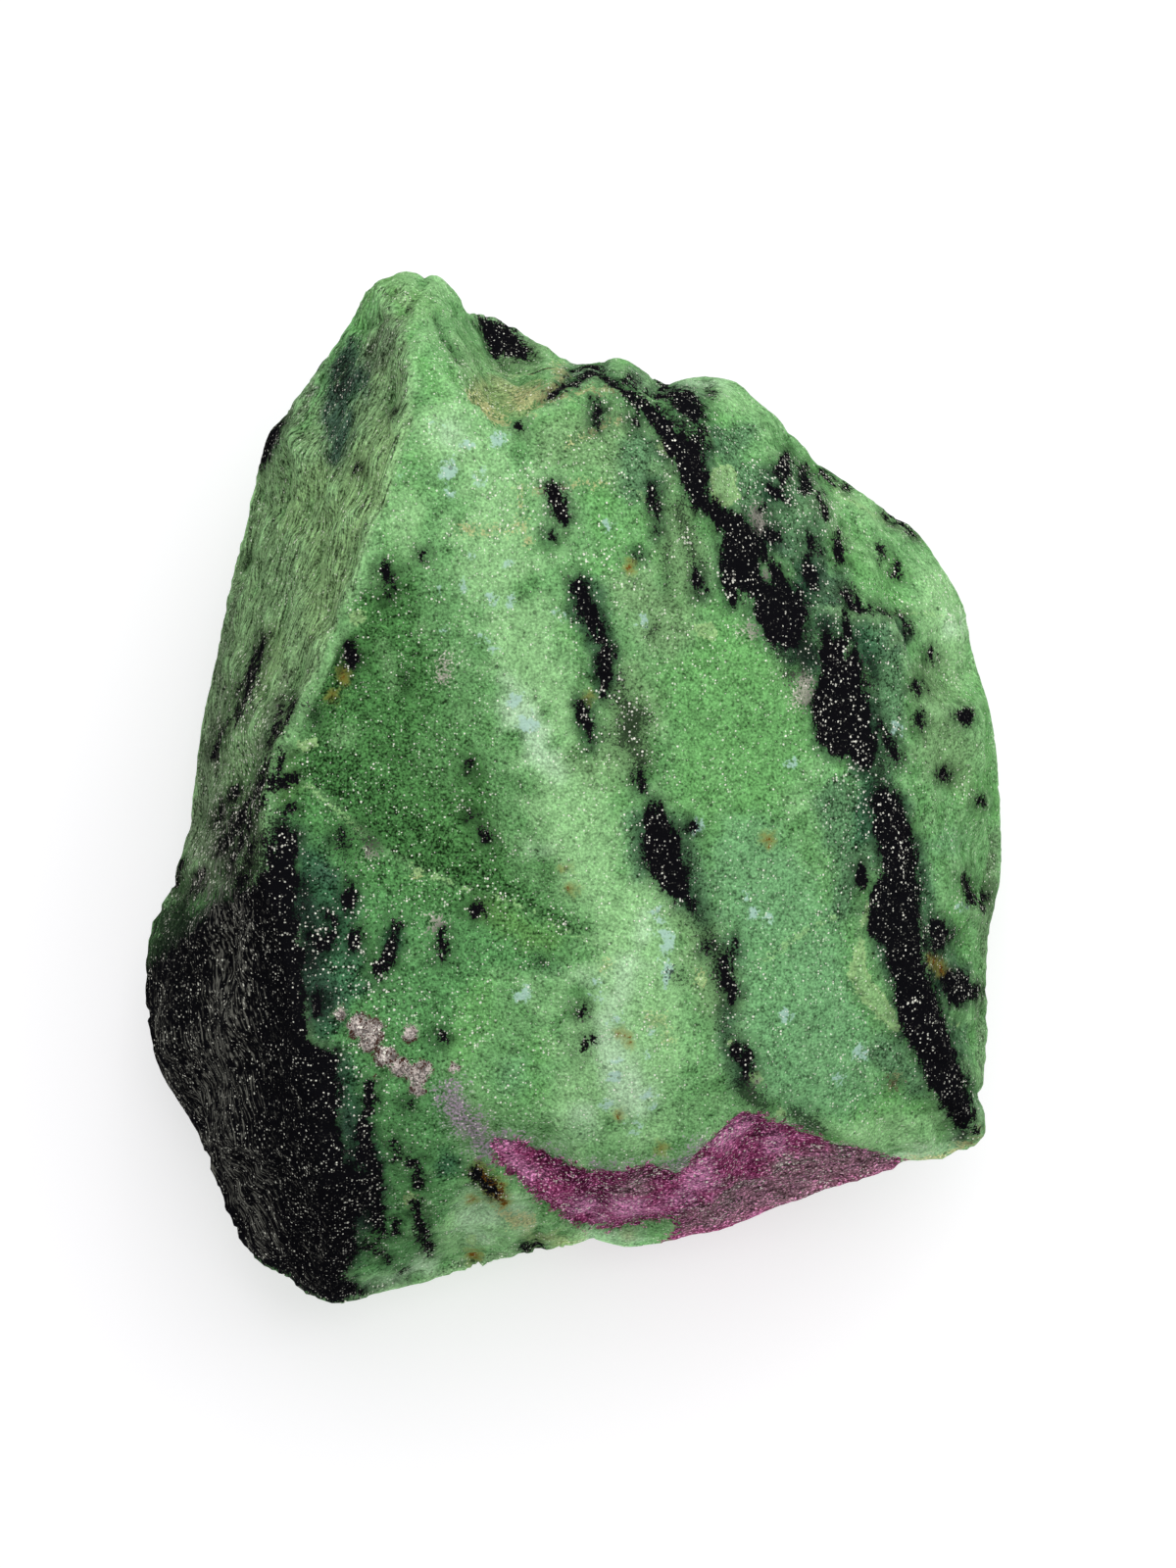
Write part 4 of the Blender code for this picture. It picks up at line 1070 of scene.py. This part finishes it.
def tint_shares(plan, cloud, blotch):
    """How much of each tint colours the ruby and the black, and how crowded the glints are."""
    shares = {
        name: smooth_step(stroke_distance(plan, strokes) + looseness * (cloud + blotch), start, full)
        for name, (strokes, looseness, start, full) in TINTS.items()
    }
    shares["crowd"] += smooth_step(CROWD_CLOUDS * cloud + blotch, *CROWD_SHARES)
    shares["clump"] = 0.5 + 0.5 * np.clip(blotch, -1, 1)
    return shares


def store(stone, name, kind, part, values):
    """Keeps values on the stone's points, under a name that the material reads."""
    made = stone.data.attributes.new(name, kind, "POINT")
    made.data.foreach_set(part, np.asarray(values, np.float32).ravel())


# --- The stone's material -------------------------------------------------------------------------------

# Noises: (wave size in millimetres, detail, roughness, shift).
SPECKLE = (0.15, 1.0, 0.6, 11)
FINE_NOISE = (0.55, 3.0, 0.62, 13)
STREAK_NOISE = (0.20, 2.0, 0.65, 4)
LEAF_NOISE = (0.30, 3.0, 0.65, 21)
FINGER_NOISE = (0.50, 2.0, 0.6, 31)
# How a pattern is drawn out along its grain, and turned about +Z, in degrees.
STREAK_GRAIN = ((1.0, 1.0, 0.12), 0)
LEAF_GRAIN = ((0.2, 1.0, 1.0), -11)
FINGER_GRAIN = ((1.0, 0.4, 0.7), 8)
NEEDLE_GRAIN = ((1.0, 0.42, 0.8), 8)

# Scattered grains. Most are small, and the dimmest has this share of the brightest one's strength.
GRAIN_CURVE = 3.0
GRAIN_EDGE = 0.02  # softness of a grain's edge, in millimetres
DIMMEST_GRAIN = 0.3
# Glints: painted highlights, as small bright grains in the colour.
GLINT_SPACING = 0.145
GLINT_RADIUS = 0.040  # and what is added to it where glints are crowded, in clumps, and on the black
GLINT_GROWTH = {"crowd": 0.028, "clump": 0.034}
GLINT_GROWTH_ON_BLACK = 0.006
GLINT_ON_BLACK = (-0.2, 0.3)
GLINT_RAGGED = (-0.02, 0.5)  # a start, and how much speckle is added
GLINT_COVER = 0.92
PEPPER_SPACING = 0.44
PEPPER_RADIUS = 0.16
PEPPER_RAGGED = 0.3
PEPPER_COVER = 0.6
NEEDLE_SPACING = 2.3
NEEDLE_RADIUS = 1.7
NEEDLE_RAGGED = (-0.05, 0.45, 0.3)  # a start, and how much fine noise and speckle is added

# A mark's edge is broken up by the noises: (fine noise, speckle, where it starts and where it is full in
# millimetres inside the mark, how much it covers).
EDGES = {
    "ice": (2.4, 0.6, -0.1, 0.25, 0.75),
    "sand": (2.2, 1.6, -0.15, 0.25, 0.75),
    "flake": (0.9, 0.3, -0.05, 0.05, 0.5),
    "vein_and_highlight": (0.9, 0.5, -0.08, 0.04, 0.5),
    "smear": (1.6, 2.6, -0.15, 0.2, 0.75),
    "smoke": (1.8, 3.0, -0.15, 0.5, 0.85),
    "ochre": (1.6, 0.6, -0.5, 0.1, 0.6),
    "rust": (1.6, 0.6, 0.04, 0.26, 1.0),
    "fringe": (2.86, 3.7, -0.5, 0.5, 0.85),
    "ruby": (1.87, 0.85, -0.12, 0.14, 1.0),
    "crust": (1.32, 0.6, -0.1, 0.12, 1.0),
}
FLAKE_RIM = (0.3, 0.1, 0.7)  # flakes are paler towards their rims
# A paint's grain: (brightness, fine noise, speckle).
GRAINS = {
    "zoisite": (0.0, 1.5, 2.3), "sand": (1.0, 0.0, 2.4), "flake": (1.0, 1.2, 2.0), "smear": (0.85, 0.0, 3.4),
    "fringe": (0.9, 0.0, 3.4), "ruby": (0.80, 2.2, 4.2), "crust": (0.95, -2.0, 5.0),
}
# What else shades the zoisite and the ruby, and the least brightness that any of it has.
ZOISITE_SHADE = {"start": 0.87, "lines": 4.4, "tone": 0.32, "least": 0.15}
RUBY_SHADE = {"leaves": 2.4, "tone": 0.4, "least": 0.2}
CRUST_LEAST = 0.3

# Ramps in the ruby: (start, full, cover).
RUBY_MOTTLING = (1.6, 0.7)  # how much the fine noise and the leaves mottle it
MAROON_SPOTS = (0.5, 0.9, 0.8)
ROSE_SPOTS = (0.42, 0.1, 0.4)
MAROON_EDGE = (0.6, 0.05, 0.5)
ROSE_GRAINS = (0.24, 0.38, 0.8)
ROSE_GRAIN_PARTS = (1.5, 0.5, 0.16)  # of the speckle, the leaves and the tone
LEAFY_SPECKLE = 0.4
LEAFY = (0.02, 0.16, 0.6)
RUBY_COVERS = {"ruby_dark": 0.75, "ruby_grey": 0.5, "ruby_light": 0.7}

# Hornblende: how its edge is drawn, and the dust, soot and fibres round it and in it.
EDGE_START = 0.10
EDGE_PARTS = (1.2, 1.1, 1.6)  # of the fingers, the speckle and the flank's lines
EDGE_RAMP = (-0.1, 0.1, 1.0)
DUST_SPECKLE = 1.8
DUST_RAMP = (-0.55, 0.12, 0.65)
SOOT_REACH = 0.22
SOOT_FINE = 0.5
SOOT_RAMP = (0.0, 0.07, 0.92)
FIBRE_CROWD = 0.12
FIBRE_FINE = 0.3
FIBRE_RAMP = (0.0, 0.16, 0.9)
GREY_FINE = 0.5
GREY_GRAINS = (0.15, 0.3, 0.5)
NEEDLE_RAMP = (0.05, 0.25, 1.0)
HIDDEN_RAMP = (0.3, 1.5, 1.0)  # depths from which the made-up needles are there
# Pits: painted shade in the crust's hollows, with their brown.
PIT_SPECKLE = 1.4
PIT_RAMP = (0.0, 0.10, 1.0)
# Painted light from the floor on the stone's lower edge.
EDGE_LIGHT = 0.6

BUMP_STRENGTH = 0.8
BUMP_HEIGHT = 0.07 * MM
BUMP_PARTS = (1.8, 3.0)  # of the fine noise and the flank's lines, next to the speckle


class Recipe:
    """Builds a material from nodes. An input is a plain value, or the output of another node."""

    def __init__(self, name):
        self.material = bpy.data.materials.new(name)
        self.material.use_nodes = True
        self.links = self.material.node_tree.links
        self.shader = self.material.node_tree.nodes["Principled BSDF"]
        scaled = self.node("VectorMath", operation="SCALE")
        self.feed(scaled.inputs[0], self.node("TexCoord").outputs["Object"])
        scaled.inputs["Scale"].default_value = 1 / MM
        self.place = scaled.outputs[0]

    def node(self, kind, **values):
        made = self.material.node_tree.nodes.new("ShaderNode" + kind)
        for name, value in values.items():
            setattr(made, name, value)
        return made

    def feed(self, socket, value):
        if isinstance(value, bpy.types.NodeSocket):
            self.links.new(value, socket)
        else:
            socket.default_value = value

    def math(self, operation, first, second=0.0, clamp=False):
        node = self.node("Math", operation=operation, use_clamp=clamp)
        self.feed(node.inputs[0], first)
        self.feed(node.inputs[1], second)
        return node.outputs[0]

    def times(self, first, *others):
        for other in others:
            first = self.math("MULTIPLY", first, other)
        return first

    def most(self, first, *others):
        for other in others:
            first = self.math("MAXIMUM", first, other)
        return first

    def sum(self, start, *parts):
        """A start, and how much of each other value is added to it: (value, amount)."""
        for value, amount in parts:
            start = self.math("ADD", start, value if amount == 1 else self.times(value, amount))
        return start

    def shifted(self, place, shift):
        node = self.node("VectorMath", operation="ADD")
        self.feed(node.inputs[0], place or self.place)
        node.inputs[1].default_value = (shift, shift, shift)
        return node.outputs[0]

    def drawn_out(self, place, squeeze, degrees):
        node = self.node("Mapping", vector_type="POINT")
        self.feed(node.inputs["Vector"], place)
        node.inputs["Rotation"].default_value = (0, 0, math.radians(degrees))
        node.inputs["Scale"].default_value = squeeze
        return node.outputs[0]

    def noise(self, size, detail, roughness, shift, place=None):
        """Noise about 0, mostly from -0.25 to 0.25, with waves of a size in millimetres."""
        node = self.node("TexNoise")
        self.feed(node.inputs["Vector"], self.shifted(place, shift))
        node.inputs["Scale"].default_value = 1 / size
        node.inputs["Detail"].default_value = detail
        node.inputs["Roughness"].default_value = roughness
        return self.math("SUBTRACT", node.outputs[0], 0.5)

    def dots(self, spacing, radius, ragged, shift, place=None):
        """Scattered grains, at a spacing in millimetres, and a tone that differs from one to the next."""
        node = self.node("TexVoronoi")
        self.feed(node.inputs["Vector"], self.shifted(place, shift))
        node.inputs["Scale"].default_value = 1 / spacing
        split = self.node("SeparateColor")
        self.links.new(node.outputs["Color"], split.inputs[0])
        share = self.math("POWER", split.outputs[0], GRAIN_CURVE)
        reach = self.sum(self.times(share, self.math("DIVIDE", radius, spacing)), (ragged, 1))
        inside = self.math("SUBTRACT", reach, node.outputs["Distance"])
        grain = self.math("MULTIPLY", inside, spacing / GRAIN_EDGE, clamp=True)
        strength = self.sum(DIMMEST_GRAIN, (split.outputs[1], 1 - DIMMEST_GRAIN))
        return self.times(grain, strength), split.outputs[2]

    def ramp(self, value, low, high, cover=1):
        """0 below low, and the cover above high, with a smooth rise between them."""
        node = self.node("MapRange", interpolation_type="SMOOTHSTEP")
        self.feed(node.inputs["Value"], value)
        self.feed(node.inputs["From Min"], low)
        self.feed(node.inputs["From Max"], high)
        return node.outputs[0] if cover == 1 else self.times(node.outputs[0], cover)

    def stored(self, name, output="Fac"):
        return self.node("Attribute", attribute_name=name).outputs[output]

    def mix(self, base, other, share, blend="MIX"):
        node = self.node("Mix", data_type="RGBA", blend_type=blend)
        self.feed(node.inputs["Factor"], share)
        self.feed(node.inputs[6], colour(base))
        self.feed(node.inputs[7], colour(other))
        return node.outputs[2]

    def brighten(self, base, factor):
        return self.mix(base, factor, 1.0, "MULTIPLY")


def colour(value):
    return value if isinstance(value, bpy.types.NodeSocket) else (*value, 1.0)


class StoneRecipe(Recipe):
    """The stone's material, with the noises and scattered grains that its minerals share."""

    def __init__(self, paints):
        super().__init__("zoisite")
        self.paints = paints
        self.speck = self.noise(*SPECKLE)
        self.fine = self.noise(*FINE_NOISE)
        combed = self.drawn_out(self.stored("combed", "Vector"), *STREAK_GRAIN)
        self.streaks = self.noise(*STREAK_NOISE, place=combed)
        self.lines = self.times(self.streaks, self.stored("flank"))
        self.leaves = self.noise(*LEAF_NOISE, place=self.drawn_out(self.place, *LEAF_GRAIN))
        # The glints are painted highlights: bright grains in the base colour.
        grown = [(self.stored(name), growth) for name, growth in GLINT_GROWTH.items()]
        on_black = self.ramp(self.stored("black"), *GLINT_ON_BLACK, GLINT_GROWTH_ON_BLACK)
        start, speckled = GLINT_RAGGED
        radius = self.sum(GLINT_RADIUS, *grown, (on_black, 1))
        ragged = self.sum(start, (self.speck, speckled))
        self.glints, self.tone = self.dots(GLINT_SPACING, radius, ragged, shift=71)

    def roughened(self, start, fine, speck):
        parts = [(self.fine, fine), (self.speck, speck)]
        return self.sum(start, *(part for part in parts if part[1]))

    def edge(self, name, mark=None):
        """How much of a mark covers each place, with its ragged edge."""
        fine, speck, start, full, cover = EDGES[name]
        return self.ramp(self.roughened(self.stored(mark or name), fine, speck), start, full, cover)

    def grained(self, name, paint, least=None):
        factor = self.roughened(*GRAINS[name])
        return self.brighten(paint, factor if least is None else self.most(factor, least))


def zoisite_colours(mix):
    """The green ground, with its fine grain and the flank's striae."""
    grit = mix.times(mix.roughened(*GRAINS["zoisite"]), mix.stored("grit"))
    shade = ZOISITE_SHADE
    grain = mix.sum(shade["start"], (grit, 1), (mix.lines, shade["lines"]), (mix.tone, shade["tone"]))
    return mix.brighten(mix.stored("ground", "Color"), mix.most(grain, shade["least"]))


def add_marks(mix, ground):
    """Small marks on the green: ice, sand, flakes, veins and painted highlights, smears, smoke and rust."""
    paints = mix.paints
    ground = mix.mix(ground, paints.ice, mix.edge("ice"))
    ground = mix.mix(ground, mix.grained("sand", paints.sand), mix.edge("sand"))
    # Flake paint, also for the veins and the painted highlights along the scoop's edge.
    flake = mix.edge("flake")
    flake = mix.times(flake, mix.sum(1.0, (mix.ramp(mix.stored("flake"), *FLAKE_RIM), 1)))
    ground = mix.mix(ground, mix.grained("flake", paints.flake), mix.most(flake, mix.edge("vein_and_highlight")))
    ground = mix.mix(ground, mix.grained("smear", paints.crust), mix.edge("smear"))
    ground = mix.mix(ground, paints.black, mix.edge("smoke"))
    ground = mix.mix(ground, paints.ochre, mix.edge("ochre", "rust"))
    return mix.mix(ground, paints.rust, mix.edge("rust"))


def ruby_colours(mix):
    """Purple red, blotched with maroon and rose, and greyer and leafy where it's worn."""
    paints = mix.paints
    finely, leafily = RUBY_MOTTLING
    mottled = mix.sum(mix.stored("clump"), (mix.fine, finely), (mix.leaves, leafily))
    leafy = mix.ramp(mix.sum(mix.leaves, (mix.speck, LEAFY_SPECKLE)), *LEAFY)
    ruby = mix.mix(paints.ruby, paints.maroon, mix.ramp(mottled, *MAROON_SPOTS))
    ruby = mix.mix(ruby, paints.rose, mix.ramp(mottled, *ROSE_SPOTS))
    washes = {"ruby_dark": paints.maroon, "ruby_grey": mix.mix(paints.ash, paints.crust, leafy),
              "ruby_light": paints.rose}
    for name, wash in washes.items():
        ruby = mix.mix(ruby, wash, mix.times(mix.stored(name), RUBY_COVERS[name]))
    ruby = mix.mix(ruby, paints.maroon, mix.ramp(mix.stored("ruby"), *MAROON_EDGE))
    speckled, leafed, toned = ROSE_GRAIN_PARTS
    grains = mix.sum(0.0, (mix.speck, speckled), (mix.leaves, leafed), (mix.tone, toned))
    ruby = mix.mix(ruby, paints.rose, mix.ramp(grains, *ROSE_GRAINS))
    shade = RUBY_SHADE
    grain = mix.sum(mix.roughened(*GRAINS["ruby"]), (mix.leaves, shade["leaves"]), (mix.tone, shade["tone"]))
    return mix.brighten(ruby, mix.most(grain, shade["least"]))


def crust_colours(mix):
    """Pinkish grey knobs, with pits between them: their brown, darkened in the hollows as painted shade."""
    depth = mix.sum(mix.fine, (mix.speck, PIT_SPECKLE), (mix.stored("bulge"), -1.0))
    knobs = mix.grained("crust", mix.paints.crust, CRUST_LEAST)
    return mix.mix(knobs, mix.paints.pit_brown_and_shade, mix.ramp(depth, *PIT_RAMP))


def black_colours(mix):
    """Hornblende: black grains, with grey fibres along the striae where it lies on the flank."""
    paints = mix.paints
    crowd = mix.times(mix.sum(mix.stored("fibres"), (-1.0, 1)), FIBRE_CROWD)
    fibres = mix.ramp(mix.sum(mix.streaks, (mix.fine, FIBRE_FINE), (crowd, 1)), *FIBRE_RAMP)
    black = mix.mix(paints.black, paints.ash, mix.times(fibres, mix.stored("flank")))
    return mix.mix(black, paints.ash, mix.ramp(mix.sum(mix.speck, (mix.fine, GREY_FINE)), *GREY_GRAINS))


def needle_share(mix):
    """Black needles scattered through the hidden sides, in swarms."""
    radius = mix.times(mix.stored("swarm"), NEEDLE_RADIUS)
    place = mix.drawn_out(mix.place, *NEEDLE_GRAIN)
    needles, _ = mix.dots(NEEDLE_SPACING, radius, mix.roughened(*NEEDLE_RAGGED), shift=43, place=place)
    return mix.times(mix.ramp(needles, *NEEDLE_RAMP), mix.ramp(mix.stored("hidden"), *HIDDEN_RAMP))


def black_share(mix):
    """The bands and spots with their ragged edges, the dust and soot round them, and the needles."""
    fingered, speckled, lined = EDGE_PARTS
    fingers = mix.noise(*FINGER_NOISE, place=mix.drawn_out(mix.place, *FINGER_GRAIN))
    edge = mix.sum(mix.stored("black"), (fingers, fingered), (mix.speck, speckled), (mix.lines, lined))
    edge = mix.sum(edge, (EDGE_START, 1))
    dust = mix.ramp(mix.sum(edge, (mix.speck, DUST_SPECKLE)), *DUST_RAMP)
    soot = mix.sum(mix.times(mix.stored("soot"), SOOT_REACH), (mix.streaks, 1), (mix.fine, SOOT_FINE))
    soot = mix.times(mix.ramp(soot, *SOOT_RAMP), mix.stored("flank"))
    return mix.most(dust, mix.ramp(edge, *EDGE_RAMP), needle_share(mix), soot)


def stone_material(paints):
    mix = StoneRecipe(paints)
    crust = mix.edge("crust")
    ground = add_marks(mix, zoisite_colours(mix))
    ground = mix.mix(ground, mix.grained("fringe", paints.lilac), mix.edge("fringe"))
    ground = mix.mix(ground, ruby_colours(mix), mix.edge("ruby"))
    ground = mix.mix(ground, crust_colours(mix), crust)
    black = mix.times(black_share(mix), mix.math("SUBTRACT", 1.0, crust))
    ground = mix.mix(ground, black_colours(mix), black)
    pepper, _ = mix.dots(PEPPER_SPACING, PEPPER_RADIUS, mix.times(mix.speck, PEPPER_RAGGED), shift=51)
    ground = mix.mix(ground, paints.black, mix.times(pepper, PEPPER_COVER))
    # Painted highlights: the glints, laid over all the colours.
    ground = mix.mix(ground, paints.glint, mix.times(mix.glints, GLINT_COVER))
    # Painted light: the lower edge made paler, where the floor would light it.
    ground = mix.brighten(ground, mix.sum(1.0, (mix.stored("edge_light"), EDGE_LIGHT)))
    mix.feed(mix.shader.inputs["Base Color"], ground)
    mix.shader.inputs["Roughness"].default_value = 0.6
    mix.shader.inputs["Specular IOR Level"].default_value = 0.0
    finely, lined = BUMP_PARTS
    bump = mix.node("Bump")
    bump.inputs["Strength"].default_value = BUMP_STRENGTH
    bump.inputs["Distance"].default_value = BUMP_HEIGHT
    mix.feed(bump.inputs["Height"], mix.sum(mix.speck, (mix.fine, finely), (mix.lines, lined)))
    mix.feed(mix.shader.inputs["Normal"], bump.outputs[0])
    return mix.material


# --- Operators ------------------------------------------------------------------------------------------


class ZOISITE_OT_stone(bpy.types.Operator):
    """Makes the stone: its fine broken surface, its minerals and its material"""

    bl_idname = "zoisite.stone"
    bl_label = "Stone"

    def execute(self, context):
        sizes, paints, _ = settings(context)
        stone = merged_copy()
        even_out(stone, sizes)
        trim_to_rim(stone)
        places = points_of(stone)
        depths = hidden_depths(stone, places)
        plan = plan_of(places, depths)
        fields = mineral_fields(plan, normals_of(stone))
        carve(stone, sizes, plan, depths, fields)
        trim_to_rim(stone)
        fit_box(stone)
        fields["bulge"] = bulges_of(stone)
        cloud, blotch = (layered_noise(places, layers) for layers in (CLOUDS, BLOTCHES))
        ground = ground_colours(plan, paints, fields, fields["bulge"], cloud, blotch)
        fields.update(tint_shares(plan, cloud, blotch))
        fields["edge_light"] = floor_light(plan, normals_of(stone))
        fields["grit"] = grit_of(ground)
        fields["hidden"] = depths
        fields["swarm"] = smooth_step(layered_noise(places, SWARMS), *SWARM_SHARES)
        for name, values in fields.items():
            store(stone, name, "FLOAT", "value", values)
        store(stone, "ground", "FLOAT_COLOR", "color", np.insert(ground, 3, 1.0, axis=1))
        store(stone, "combed", "FLOAT_VECTOR", "vector", combed_places(places, plan))
        bpy.ops.object.shade_smooth()
        stone.data.materials.clear()
        stone.data.materials.append(stone_material(paints))
        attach(stone, BODY)
        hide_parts(NODE)
        return {"FINISHED"}


class ZOISITE_OT_studio(bpy.types.Operator):
    """Makes the pale floor, the soft lights and the camera above the stone"""

    bl_idname = "zoisite.studio"
    bl_label = "Studio"

    def execute(self, context):
        _, _, studio = settings(context)
        add_floor(studio)
        add_lights(context, studio)
        add_camera(context)
        context.scene.view_settings.view_transform = "Standard"
        return {"FINISHED"}


def add_floor(studio):
    deselect_all()
    bpy.ops.mesh.primitive_plane_add(size=studio.floor, location=(0, 0, -FLOOR_GAP))
    floor = bpy.context.active_object
    floor.name = "floor"
    made = bpy.data.materials.new("pale floor")
    made.use_nodes = True
    shader = made.node_tree.nodes["Principled BSDF"]
    shader.inputs["Base Color"].default_value = (*studio.shade, 1.0)
    shader.inputs["Roughness"].default_value = 0.9
    shader.inputs["Specular IOR Level"].default_value = 0.1
    shader.inputs["Emission Color"].default_value = (1, 1, 1, 1)
    shader.inputs["Emission Strength"].default_value = studio.glow
    floor.data.materials.append(made)


def add_sun(name, strength, elevation, azimuth, softness):
    """A soft light from a height and a compass direction, in degrees, clockwise from +Y."""
    bpy.ops.object.light_add(type="SUN")
    sun = bpy.context.active_object
    sun.name = name
    sun.rotation_euler = (math.radians(90 - elevation), 0, math.radians(180 - azimuth))
    sun.data.energy = strength
    sun.data.angle = math.radians(softness)


def add_lights(context, studio):
    add_sun("key light", studio.key, elevation=60, azimuth=25, softness=55)
    add_sun("fill light", studio.fill, elevation=40, azimuth=-80, softness=70)
    world = bpy.data.worlds.new("room")
    world.use_nodes = True
    background = world.node_tree.nodes["Background"]
    background.inputs["Color"].default_value = (1, 1, 1, 1)
    background.inputs["Strength"].default_value = studio.air
    context.scene.world = world


def add_camera(context):
    bpy.ops.object.camera_add(location=EYE * MM, rotation=(0, 0, 0))
    camera = bpy.context.active_object
    camera.name = "camera"
    view_height = PLAN_SIZE[1] / PLAN_SCALE
    camera.data.lens = camera.data.sensor_width * (EYE_HEIGHT - PLAN_HEIGHT) / view_height
    camera.data.clip_start = 0.05
    camera.data.clip_end = 10.0
    camera.data.dof.use_dof = False
    context.scene.camera = camera


class ZOISITE_PT_panel(bpy.types.Panel):
    """Lists the settings and the operators"""

    bl_idname = "ZOISITE_PT_panel"
    bl_label = "Ruby in zoisite"
    bl_space_type = "VIEW_3D"
    bl_region_type = "UI"
    bl_category = "Stone"

    def draw(self, context):
        for group in settings(context):
            box = self.layout.box()
            for name in group.bl_rna.properties.keys():
                if name not in ("name", "rna_type"):
                    box.prop(group, name)
        for operator in (ZOISITE_OT_stone, ZOISITE_OT_studio):
            self.layout.operator(operator.bl_idname)


CLASSES = (StoneSizes, StoneColours, StudioSettings, ZOISITE_OT_stone, ZOISITE_OT_studio, ZOISITE_PT_panel)


def register():
    for kind in CLASSES:
        bpy.utils.register_class(kind)
    bpy.types.Scene.stone_sizes = PointerProperty(type=StoneSizes)
    bpy.types.Scene.stone_colours = PointerProperty(type=StoneColours)
    bpy.types.Scene.studio = PointerProperty(type=StudioSettings)


def unregister():
    del bpy.types.Scene.studio
    del bpy.types.Scene.stone_colours
    del bpy.types.Scene.stone_sizes
    for kind in reversed(CLASSES):
        bpy.utils.unregister_class(kind)


def main():
    register()
    bpy.ops.zoisite.studio()
    bpy.ops.zoisite.stone()


if __name__ == "__main__":
    main()
